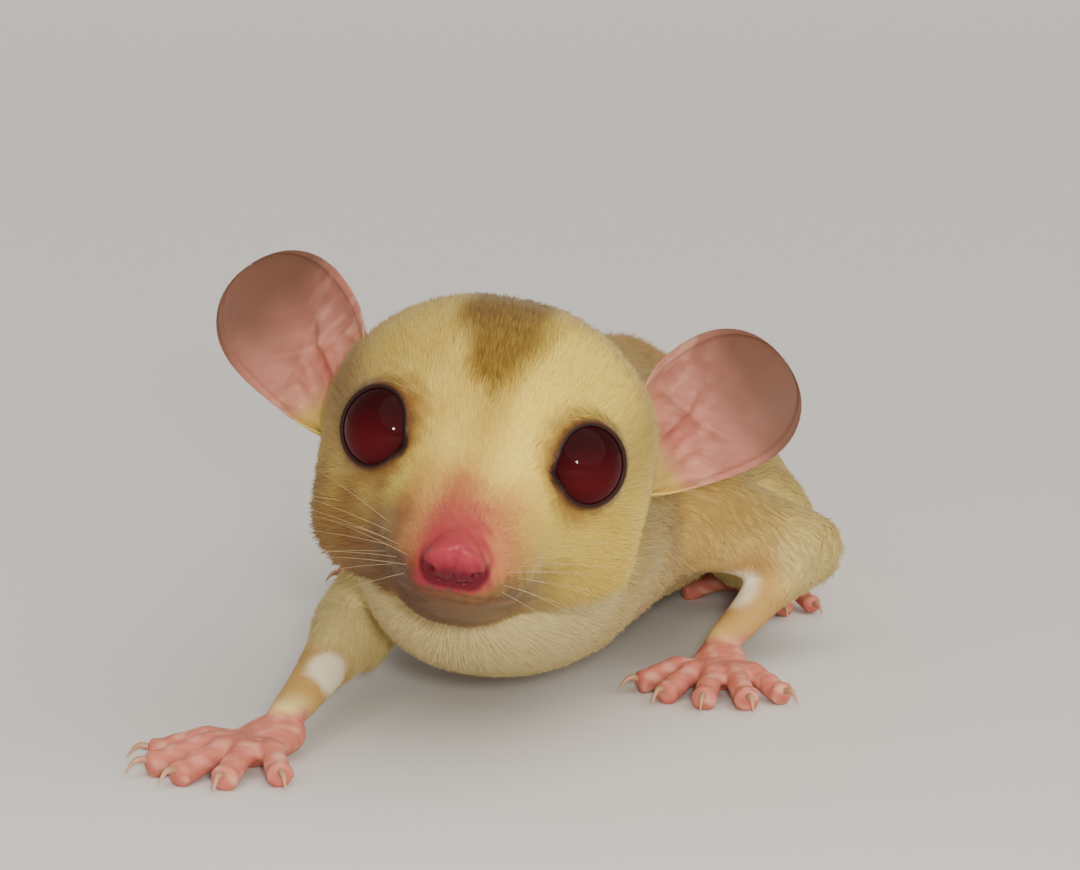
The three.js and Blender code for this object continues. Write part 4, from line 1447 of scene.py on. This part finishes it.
class Finish:
    """A material under the making, with one Principled shader."""

    def __init__(self, name, **constants):
        self.material = bpy.data.materials.new(name)
        self.material.use_nodes = True
        self.tree = self.material.node_tree
        self.shader = self.tree.nodes["Principled BSDF"]
        for socket, value in constants.items():
            self.shader.inputs[socket.replace("_", " ")].default_value = value

    def node(self, kind, settings=None, output=0, **inputs):
        """Any node: its settings first, then the values or wires of its sockets by name."""
        node = self.tree.nodes.new(kind)
        for setting, value in (settings or {}).items():
            setattr(node, setting, value)
        for name, value in inputs.items():
            place = node.inputs[name.replace("_", " ")]
            if isinstance(value, Wire):
                self.tree.links.new(value.socket, place)
            else:
                place.default_value = value
        return Wire(self.tree, node.outputs[output])

    def attribute(self, name, output="Color"):
        return self.node("ShaderNodeAttribute", {"attribute_name": name}, output)

    def place(self):
        return self.node("ShaderNodeTexCoord", None, "Object")

    def noise(self, scale, detail=2.0, stretch=None):
        """Noise on the object's own coordinates, in waves to the metre."""
        place = self.place()
        if stretch:
            place = self.node("ShaderNodeMapping", None, Vector=place, Scale=stretch)
        return self.node("ShaderNodeTexNoise", None, Vector=place, Scale=scale, Detail=detail)

    def cells(self, scale):
        """Distance to the nearest of the scattered points of a cell pattern."""
        return self.node("ShaderNodeTexVoronoi", None, "Distance", Vector=self.place(), Scale=scale)

    def tinted(self, colour, factor, blend="MULTIPLY", other=(1, 1, 1, 1)):
        """A colour blended with another by a factor."""
        mix = self.tree.nodes.new("ShaderNodeMix")
        mix.data_type = "RGBA"
        mix.blend_type = blend
        for name, value in (("Factor_Float", factor), ("A_Color", colour), ("B_Color", other)):
            place = next(socket for socket in mix.inputs if socket.identifier == name)
            if isinstance(value, Wire):
                self.tree.links.new(value.socket, place)
            else:
                place.default_value = value
        output = next(socket for socket in mix.outputs if socket.identifier == "Result_Color")
        return Wire(self.tree, output)

    def bump(self, height, strength, distance):
        return self.node("ShaderNodeBump", None, Height=height, Strength=strength, Distance=distance)

    def feed(self, **sockets):
        for name, wire in sockets.items():
            self.tree.links.new(wire.socket, self.shader.inputs[name.replace("_", " ")])
        return self.material


def skin_finish():
    """Thin living skin: wet and pebbled on the nose, creased on the paws, veined on the ears."""
    finish = Finish("skin", Subsurface_Weight=0.2, Subsurface_Scale=0.0008,
                    Subsurface_Radius=(1.0, 0.4, 0.3), Specular_IOR_Level=0.18, Coat_Roughness=0.2)
    wet = finish.attribute("wet", "Fac")
    bare = finish.attribute("bare", "Fac")
    broad = finish.noise(260.0, 3.0)
    fine = finish.noise(1500.0, 2.0)
    grain = finish.noise(900.0, 4.0, (3.0, 0.6, 3.0))
    pebbles = finish.cells(2600.0)
    colour = finish.tinted(finish.attribute("tint"), 0.22 * bare * broad, other=(0.62, 0.32, 0.34, 1))
    pad = wet + 0.5 * bare
    height = pad * pebbles * 0.6 + (1 - wet) * (bare * fine * 0.5 + bare * broad * 0.5 + (1 - bare) * grain)
    return finish.feed(
        Base_Color=colour,
        Coat_Weight=0.2 * wet,
        Roughness=0.68 - 0.3 * wet - 0.12 * bare + 0.12 * (broad - 0.5),
        Normal=finish.bump(height, 0.35, 0.00016),
    )


def coat_finish(name, roughness):
    """Soft hair: the tufts carry its colours, and a fine streak runs through each of them."""
    finish = Finish(name, Specular_IOR_Level=0.16, Sheen_Weight=0.15, Sheen_Roughness=0.45,
                    Sheen_Tint=(1.0, 0.9, 0.68, 1))
    streak = finish.noise(2200.0, 2.0)
    colour = finish.tinted(finish.attribute("tint"), 0.3 * streak, other=(0.72, 0.66, 0.55, 1))
    return finish.feed(Base_Color=colour, Roughness=roughness + 0.12 * (streak - 0.5))


def eye_finish():
    """Deep ruby under a clear wet cornea; the tint carries a lighter ruby painted low in each eye, standing
    for light within it.
    """
    finish = Finish("eye", Coat_Roughness=0.01, Specular_IOR_Level=0.0, Coat_IOR=1.14, Coat_Weight=1.0)
    depth = finish.noise(420.0, 2.0)
    colour = finish.tinted(finish.attribute("tint"), 0.25 * depth, other=(0.6, 0.4, 0.45, 1))
    return finish.feed(Base_Color=colour, Roughness=0.1 + 0.06 * depth)


def claw_finish():
    """Pale horn, clearer towards the tip, with fine lengthwise grain."""
    finish = Finish("claw horn", Specular_IOR_Level=0.5, Subsurface_Weight=0.2, Subsurface_Scale=0.0006)
    grain = finish.noise(1400.0, 3.0, (2.0, 0.4, 2.0))
    colour = finish.tinted(finish.attribute("tint"), 0.3 * grain, other=(0.75, 0.6, 0.5, 1))
    ripple = finish.bump(grain, 0.2, 0.00008)
    return finish.feed(Base_Color=colour, Roughness=0.3 + 0.15 * grain, Normal=ripple)


def floor_finish(colour):
    """Pale matt card with the faintest tooth."""
    finish = Finish("pale floor", Specular_IOR_Level=0.2)
    tooth = finish.noise(600.0, 3.0)
    base = finish.tinted((*colour, 1), 0.05 * tooth, other=(0.9, 0.9, 0.9, 1))
    relief = finish.bump(tooth, 0.05, 0.0001)
    return finish.feed(Base_Color=base, Roughness=0.85 + 0.1 * (tooth - 0.5), Normal=relief)


def colour_setting(name, description, *seen):
    """A colour that a user may change, its default as seen on a screen."""
    return bpy.props.FloatVectorProperty(
        name=name, description=description, default=srgb(*seen), subtype="COLOR", size=3, min=0, max=1)


def length_setting(name, description, metres, most):
    """A length that a user may change, in metres."""
    return bpy.props.FloatProperty(
        name=name, description=description, default=metres, min=0, max=most, unit="LENGTH", precision=5)


class GliderSizes(bpy.types.PropertyGroup):
    """Lengths of hair and whiskers."""

    head_length: length_setting("Head hair", "Length of the hair on the crown", CROWN_LENGTH, 0.006)
    body_length: length_setting("Body hair", "Length of the hair on the back", 0.0048, 0.012)
    tail_length: length_setting("Tail hair", "Length of the hair on the tail", 0.0096, 0.016)
    hair_width: length_setting("Tuft width", "Width of a tuft on the crown", CROWN_WIDTH, 0.001)
    whisker_length: length_setting("Whiskers", "Length of the longest whisker", 0.017, 0.03)
    whisker_width: length_setting("Whisker width", "Width of a whisker at its root", 0.00005, 0.0005)
    fullness: bpy.props.FloatProperty(
        name="Fullness", description="Share of the coat's tufts", default=1.0, min=0.05, max=1.0,
        subtype="FACTOR")


class GliderColours(bpy.types.PropertyGroup):
    """Colours of coat, skin, eyes and claws."""

    coat: colour_setting("Coat", "Cream of the cheeks and flanks", 216, 178, 78)
    pale: colour_setting("Pale coat", "Lightest cream, in blotches and at the tail's tip", 230, 200, 100)
    # Painted light: a clearer cream on the left brow and cheek, where light falls on them.
    bright: colour_setting("Bright coat", "Clear cream of the left brow and cheek", 255, 222, 96)
    throat: colour_setting("Throat", "Pale grey cream of throat, chest and belly", 214, 194, 134)
    # Partly painted shade: a greyer, darker cream, as on a flank in shade.
    flank: colour_setting("Flank", "Greyer cream of the body and the back of the head", 166, 142, 84)
    golden: colour_setting("Golden", "Light golden-brown of wrists and tail", 178, 126, 56)
    # Partly painted shade: a brown for jaw, chin, temples and eye rings, darker than the hair's own, as
    # where shade falls.
    jaw: colour_setting("Jaw", "Brown shade of the jaw, the chin and the temples", 116, 60, 28)
    # Partly painted shade: the darkest brown next to the lids, in the hollow round the eye.
    eye_ring: colour_setting("Eye rings", "Dark brown hair next to the lids", 98, 62, 32)
    stripe: colour_setting("Stripe", "Golden-brown stripe from brow to rump", 114, 80, 26)
    white: colour_setting("White", "Spot inside each wrist", 240, 228, 196)
    muzzle: colour_setting("Muzzle", "Pink that shows through the muzzle's short hair", 176, 92, 70)
    nose: colour_setting("Nose", "Rose of the nose and the bridge over it", 152, 32, 58)
    # Partly painted shade: the pad's own crimson, deepened where it turns under.
    nose_tip: colour_setting("Nose tip", "Deep crimson of the nose pad's lower part", 90, 4, 22)
    lips: colour_setting("Lips", "Grey-brown of the mouth line and the lips", 98, 62, 46)
    ears: colour_setting("Ears", "Mauve-pink of the ears", 176, 114, 98)
    ear_rim: colour_setting("Ear rims", "Greyer brown-mauve of the ears' upper parts", 108, 74, 58)
    ear_foot: colour_setting("Ear feet", "Paler pink at the feet of the ears", 204, 138, 112)
    # On the ears' folds partly painted highlight.
    pale_skin: colour_setting("Pale skin", "Whitish pink of ear folds and paw pads", 232, 186, 160)
    paws: colour_setting("Paws", "Pink of the bare paws", 208, 128, 106)
    lids: colour_setting("Lids", "Dark brown of the lids' rims", 38, 19, 14)
    eye: colour_setting("Eye", "Dark ruby of the eyes", 42, 9, 12)
    # Painted light: a lighter ruby painted low in each eyeball's colour; no light passes through the eyes.
    painted_eye_glow: colour_setting("Eye glow", "Lighter ruby where light passes through the eyes", 76, 15, 20)
    claw: colour_setting("Claws", "Pale horn", 190, 146, 112)
    whisker: colour_setting("Whiskers", "Pale whiskers", 200, 176, 134)


class GliderStudio(bpy.types.PropertyGroup):
    """Floor, lights and lens."""

    floor: colour_setting("Floor", "Colour of the floor", 226, 223, 218)
    key: bpy.props.FloatProperty(
        name="Key light", description="Strength of the wide soft light", default=2.5, min=0)
    front: bpy.props.FloatProperty(
        name="Front light", description="Power of the small light by the camera", default=0.5, min=0,
        unit="POWER")
    sky: bpy.props.FloatProperty(
        name="Surroundings", description="Strength of the pale surroundings", default=0.44, min=0)
    zoom: bpy.props.FloatProperty(
        name="Lens", description="Focal length of the camera", default=90.0, min=10,
        subtype="DISTANCE_CAMERA")


class GliderOperator:
    """What the operators share."""

    bl_options = {"REGISTER", "UNDO"}

    @staticmethod
    def colours():
        """The scene's colours of the animal."""
        return bpy.context.scene.glider_colours

    @staticmethod
    def sizes():
        """The scene's lengths of hair and whiskers."""
        return bpy.context.scene.glider_sizes


class GLIDER_OT_skin(GliderOperator, bpy.types.Operator):
    """Make the one skin of head, ears, body, legs, paws and tail"""

    bl_idname = "glider.skin"
    bl_label = "Skin"

    def execute(self, context):
        points, triangles = skin_shape()
        made = put_mesh("skin", points * MM, triangles)
        put_tint(made.data, skin_tint(points, self.colours()))
        wet = nose_pad(in_head(points))
        for side in SIDES:
            outside, off = from_lids(points, side)
            wet = np.maximum(wet, 0.3 * smooth(0.5, 0.2, outside) * smooth(1.0, 0.6, np.abs(off)))
        put_share(made.data, "wet", wet)
        put_share(made.data, "bare", np.maximum(ear_share(points), paw_share(points)))
        made.data.materials.append(skin_finish())
        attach(made, "root")
        names = ["head", "neck", "trunk", "nose", "ear_left", "ear_right"]
        names += [f"{part}_{side}" for side in SIDES
                  for part in ("foreleg", "hindleg", "forepaw", "hindfoot", "flank_fold")]
        names += [f"tail_{number}" for number in range(1, 5)]
        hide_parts(*names)
        return {"FINISHED"}


# The surfaces that each kind of coat grows on
LEG_NAMES = tuple(f"{kind}_{side}_{length}" for kind, side in LEGS for length in ("upper", "lower"))
PAW_NAMES = tuple(f"paw_{kind}_{side}_{number}" for kind, side in LEGS for number in range(6))
HEAD_NAMES = ("head", "lid_left", "lid_right")
BODY_NAMES = ("trunk", "fold_left", "fold_right")
# Every piece of coat: its surfaces, how many tufts are scattered, where, on which part, and its groom
COATS = (
    ("coat_face", HEAD_NAMES, 49500, head_density, "face", groom_head),
    ("coat_head_left", HEAD_NAMES, 49000, head_density, "left", groom_head),
    ("coat_head_right", HEAD_NAMES, 49000, head_density, "right", groom_head),
    ("coat_chest", BODY_NAMES[:1], 49000, body_density, "chest", groom_body),
    ("coat_back", BODY_NAMES, 49500, body_density, "rest", groom_body),
    ("coat_legs", LEG_NAMES, 52000, body_density, "rest", groom_body),
    ("coat_tail_root", ("tail",), 38000, tail_density, "root", groom_tail),
    ("coat_tail_tip", ("tail",), 38000, tail_density, "tip", groom_tail),
)


class GLIDER_OT_coat(GliderOperator, bpy.types.Operator):
    """Make the coat of the head, body, legs and tail from overlapping tufts"""

    bl_idname = "glider.coat"
    bl_label = "Coat"

    def execute(self, context):
        finish = coat_finish("coat", 0.74)
        sizes = self.sizes()
        for seed, (name, surfaces, count, density, part, groom) in enumerate(COATS):
            rng = np.random.default_rng(100 + seed)
            scatter = functools.partial(density, part=part)
            growth = Growth(surfaces, int(count * sizes.fullness), scatter, rng)
            head = name.startswith(("coat_face", "coat_head"))
            growth.keep(clear_of_eyes(growth.roots) * (1 - nose_pad(growth.head)) > 0.5)
            furred = (ear_share(growth.roots) < 0.2) & (paw_share(growth.roots) < 0.6)
            growth.keep(furred & (growth.roots[:, 2] > 0.4))
            length, width, lift = groom(growth, sizes)
            growth.ruffle(4.0 if head else 9.0, 0.16, 0.07, 40)
            growth.ruffle(1.3 if head else 3.0, 0.12, 0.0, 41)
            length = length * growth.rng.uniform(0.72, 1.12, len(length))
            droop = 0.3 * np.sin(lift)
            tint_at = functools.partial(markings, colours=self.colours())
            made = coat_piece(name, growth, tint_at, length, width, lift, droop)
            made.data.materials.append(finish)
        return {"FINISHED"}


class GLIDER_OT_down(GliderOperator, bpy.types.Operator):
    """Make the sparse down on the ears and the paws"""

    bl_idname = "glider.down"
    bl_label = "Down"

    def execute(self, context):
        sizes = self.sizes()
        finish = coat_finish("down", 0.7)
        for name, ears in (("coat_ears", True), ("coat_paws", False)):
            rng = np.random.default_rng(200 + ears)
            surfaces = ("ear_left", "ear_right") if ears else PAW_NAMES
            growth = Growth(surfaces, int((9000 if ears else 5000) * sizes.fullness), fuzz_density, rng)
            if ears:
                growth.keep(ear_share(growth.roots) > 0.1)
            else:
                growth.keep((growth.normals[:, 2] > 0.1) & (growth.roots[:, 2] > 0.8))
            growth.ruffle(3.0, 0.3, 0.25, 43)
            spread = growth.rng.uniform(0.6, 1.2, len(growth.roots))
            length = (0.7 if ears else 0.6) * spread
            if ears:
                for side in SIDES.values():
                    up_it = ear_coordinates(growth.head, side)[2]
                    foot = smooth(5.0, 1.5, up_it) * (growth.head[:, 0] * side > 0)
                    length = length * (1 + 1.6 * foot)
            width = np.full(len(length), 0.06)
            lift = 12 * DEGREE * spread
            tint_at = functools.partial(skin_tint, colours=self.colours())
            made = coat_piece(name, growth, tint_at, length, width, lift, 0.2 * lift, (1.0, 1.2))
            made.data.materials.append(finish)
        return {"FINISHED"}


class GLIDER_OT_eyes(GliderOperator, bpy.types.Operator):
    """Make the two eyeballs, dark ruby and glossy"""

    bl_idname = "glider.eyes"
    bl_label = "Eyes"

    def execute(self, context):
        finish = eye_finish()
        for side in SIDES:
            vertices, triangles = ball_surface(side, EYE_RADIUS).mesh_data()
            made = put_mesh(f"eyeball_{side}", vertices * MM, triangles)
            axis, high, _ = lid_axes(side)
            out = unit(vertices - EYES[side])
            # Painted light: the lower front of each eyeball gets the lighter ruby.
            painted_glow = smooth(0.6, -0.6, out @ high) * smooth(0.35, 0.95, out @ axis)
            dark, bright = np.array(self.colours().eye), np.array(self.colours().painted_eye_glow)
            put_tint(made.data, dark + (bright - dark) * painted_glow[:, None])
            made.data.materials.append(finish)
            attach(made, "root")
            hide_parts(f"eye_{side}")
        return {"FINISHED"}


class GLIDER_OT_claws(GliderOperator, bpy.types.Operator):
    """Make the eighteen curved claws as one piece"""

    bl_idname = "glider.claws"
    bl_label = "Claws"

    def execute(self, context):
        surfaces = [surface for kind, side in LEGS for surface in claw_surfaces(kind, side)]
        vertices, triangles = stacked([surface.mesh_data() for surface in surfaces])
        made = put_mesh("claws", vertices * MM, triangles)
        put_tint(made.data, np.array(self.colours().claw) * (0.75 + 0.35 * along_each(surfaces)))
        made.data.materials.append(claw_finish())
        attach(made, "root")
        names = [f"fore_claw_{side}_{digit}" for side in SIDES for digit in range(1, 6)]
        names += [f"hind_claw_{side}_{digit}" for side in SIDES for digit in range(2, 6)]
        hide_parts(*names)
        return {"FINISHED"}


# Whisker roots in the head's frame: where a row starts and ends, and how many stand in it
WHISKER_ROWS = (
    ((4.6, -19.8, -5.2), (6.8, -14.0, -4.6), 4),
    ((4.4, -19.9, -6.2), (6.9, -14.2, -6.0), 4),
    ((3.9, -19.8, -7.0), (6.6, -14.6, -7.2), 3),
    ((6.0, -9.0, 6.8), (7.2, -8.0, 7.0), 2),
    ((12.0, -6.0, -6.2), (12.6, -4.6, -6.6), 2),
)


def whisker_surfaces(length, width):
    """Thin tapering tubes that leave the muzzle sideways and bend back and down."""
    rng = np.random.default_rng(7)
    made = []
    for side in SIDES.values():
        for row, (start, end, count) in enumerate(WHISKER_ROWS):
            for share in np.linspace(0, 1, count):
                root = np.array(start) + (np.array(end) - start) * share + rng.normal(size=3) * 0.12
                root = on_skin(from_head(root * [[side, 1, 1]]), 6.0)[0][0]
                root = in_head(root[None])[0]
                reach = length * (0.55 + 0.45 * share) * (0.6 if row > 2 else 1.0) * rng.uniform(0.85, 1.1)
                out = np.array([side * 1.0, 0.15 + 0.5 * share, 0.25 - 0.3 * (row % 3)])
                out = unit(out + rng.normal(size=3) * 0.08)
                t = np.linspace(0, 1, 6)[:, None]
                bend = np.array([0, 0.32, -0.22]) * reach * t**2
                line = from_head(root + out * (reach * t - 0.3) + bend)
                stations = [(at, width * (1 - 0.9 * number / 5)) for number, at in enumerate(line)]
                made.append(swept(stations, 26, 6, crowd=0))
    return made


class GLIDER_OT_whiskers(GliderOperator, bpy.types.Operator):
    """Make the whiskers on muzzle, brow and cheeks"""

    bl_idname = "glider.whiskers"
    bl_label = "Whiskers"

    def execute(self, context):
        sizes = self.sizes()
        surfaces = whisker_surfaces(sizes.whisker_length / MM, sizes.whisker_width / MM / 2)
        vertices, triangles = stacked([surface.mesh_data() for surface in surfaces])
        made = put_mesh("whiskers", vertices * MM, triangles)
        put_tint(made.data, np.array(self.colours().whisker) * (0.7 + 0.4 * along_each(surfaces)))
        made.data.materials.append(coat_finish("whisker", 0.5))
        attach(made, "root")
        return {"FINISHED"}


# The camera: its turn round the animal and rise over the floor, its distance in millimetres to the
# point that it looks at, and that point's place beside and above the skull in the picture
CAMERA_TURN = 14 * DEGREE
CAMERA_RISE = 9 * DEGREE
CAMERA_DISTANCE = 270
LOOK_RIGHT = 5.3
LOOK_UP = 1.1
SENSOR = 36
# The lights: how far back towards the camera, to the right and up from the point looked at
KEY_PLACE = (500, 280, 480)
KEY_ANGLE = 95 * DEGREE
FRONT_PLACE = (262, 16, 14)
FRONT_WIDTH = 24


def camera_axes():
    """Backwards from the picture, to its right and up it."""
    level = np.cos(CAMERA_RISE)
    back = np.array([np.sin(CAMERA_TURN) * level, -np.cos(CAMERA_TURN) * level, np.sin(CAMERA_RISE)])
    right = np.array([np.cos(CAMERA_TURN), np.sin(CAMERA_TURN), 0.0])
    return back, right, np.cross(back, right)


class GLIDER_OT_stage(GliderOperator, bpy.types.Operator):
    """Make the floor, the surroundings, the lights and the camera"""

    bl_idname = "glider.stage"
    bl_label = "Stage"

    def execute(self, context):
        studio = context.scene.glider_studio
        self.make_floor(studio)
        back, right, up = camera_axes()
        look = SKULL + right * LOOK_RIGHT + up * LOOK_UP
        self.make_camera(context, studio, look + back * CAMERA_DISTANCE, (right, up, back))
        world = context.scene.world or bpy.data.worlds.new("pale room")
        context.scene.world = world
        world.use_nodes = True
        sky = world.node_tree.nodes["Background"]
        sky.inputs["Color"].default_value = (1.0, 0.98, 0.95, 1)
        sky.inputs["Strength"].default_value = studio.sky
        key = self.make_light("key", "SUN", KEY_PLACE, look, (1.0, 0.96, 0.9))
        key.energy = studio.key
        key.angle = KEY_ANGLE
        front = self.make_light("front", "AREA", FRONT_PLACE, look, (1.0, 0.97, 0.92))
        front.energy = studio.front
        front.shape = "DISK"
        front.size = FRONT_WIDTH * MM
        return {"FINISHED"}

    @staticmethod
    def make_floor(studio):
        """A wide round slab, level with the feet, whose far rim rises a little, and back underneath."""
        turn = np.linspace(0, 2 * np.pi, 96, endpoint=False)
        reach = np.array([0.02, 0.2, 0.6, 1.6, 4.0, 8.0, 14.0, 22.0, 22.0, 0.02])[:, None]
        height = np.array([0, 0, 0, 0, 0, 0.1, 0.5, 1.6, -0.02, -0.02])[:, None]
        points = np.stack([reach * np.cos(turn), reach * np.sin(turn), height + 0 * turn], -1)
        vertices, triangles = Surface(points).mesh_data()
        made = put_mesh("floor", vertices, triangles)
        made.data.materials.append(floor_finish(tuple(studio.floor)))

    @staticmethod
    def make_camera(context, studio, at, axes):
        """The scene's camera, at a place in millimetres and with those axes."""
        camera = bpy.data.cameras.new("camera")
        camera.lens = studio.zoom
        camera.sensor_width = SENSOR
        camera.clip_start = 0.01
        camera.dof.use_dof = False
        made = bpy.data.objects.new("camera", camera)
        made.matrix_world = matrix_from(axes, at)
        context.scene.collection.objects.link(made)
        context.scene.camera = made

    @staticmethod
    def make_light(name, kind, place, look, colour):
        """A light that faces the point that the camera looks at, from a place in the camera's own axes."""
        lamp = bpy.data.lights.new(name, kind)
        lamp.color = colour
        made = bpy.data.objects.new(name, lamp)
        back, right, up = camera_axes()
        at = look + back * place[0] + right * place[1] + up * place[2]
        away = unit(at - look)
        side = unit(np.cross(UP, away))
        made.matrix_world = matrix_from((side, np.cross(away, side), away), at)
        bpy.context.scene.collection.objects.link(made)
        return lamp


def matrix_from(axes, at):
    """The matrix of an object with those axes at a place in millimetres."""
    rows = np.eye(4)
    rows[:3, :3] = np.array(axes).T
    rows[:3, 3] = at * MM
    return Matrix(rows.tolist())


OPERATORS = (
    GLIDER_OT_skin, GLIDER_OT_coat, GLIDER_OT_down, GLIDER_OT_eyes, GLIDER_OT_claws, GLIDER_OT_whiskers,
    GLIDER_OT_stage,
)


class GLIDER_PT_panel(bpy.types.Panel):
    """The sidebar's panel with the pieces and their settings."""

    bl_label = "Sugar glider"
    bl_idname = "GLIDER_PT_panel"
    bl_space_type = "VIEW_3D"
    bl_region_type = "UI"
    bl_category = "Glider"

    def draw(self, context):
        for operator in OPERATORS:
            self.layout.operator(operator.bl_idname)
        for group in (context.scene.glider_sizes, context.scene.glider_colours, context.scene.glider_studio):
            box = self.layout.box()
            for name in group.__annotations__:
                box.prop(group, name)


CLASSES = (GliderSizes, GliderColours, GliderStudio, *OPERATORS, GLIDER_PT_panel)


def register():
    for made in CLASSES:
        bpy.utils.register_class(made)
    bpy.types.Scene.glider_sizes = bpy.props.PointerProperty(type=GliderSizes)
    bpy.types.Scene.glider_colours = bpy.props.PointerProperty(type=GliderColours)
    bpy.types.Scene.glider_studio = bpy.props.PointerProperty(type=GliderStudio)


def unregister():
    for name in ("glider_studio", "glider_colours", "glider_sizes"):
        delattr(bpy.types.Scene, name)
    for made in reversed(CLASSES):
        bpy.utils.unregister_class(made)


def main():
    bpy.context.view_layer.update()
    register()
    for operator in OPERATORS:
        family, name = operator.bl_idname.split(".")
        getattr(getattr(bpy.ops, family), name)()


if __name__ == "__main__":
    main()
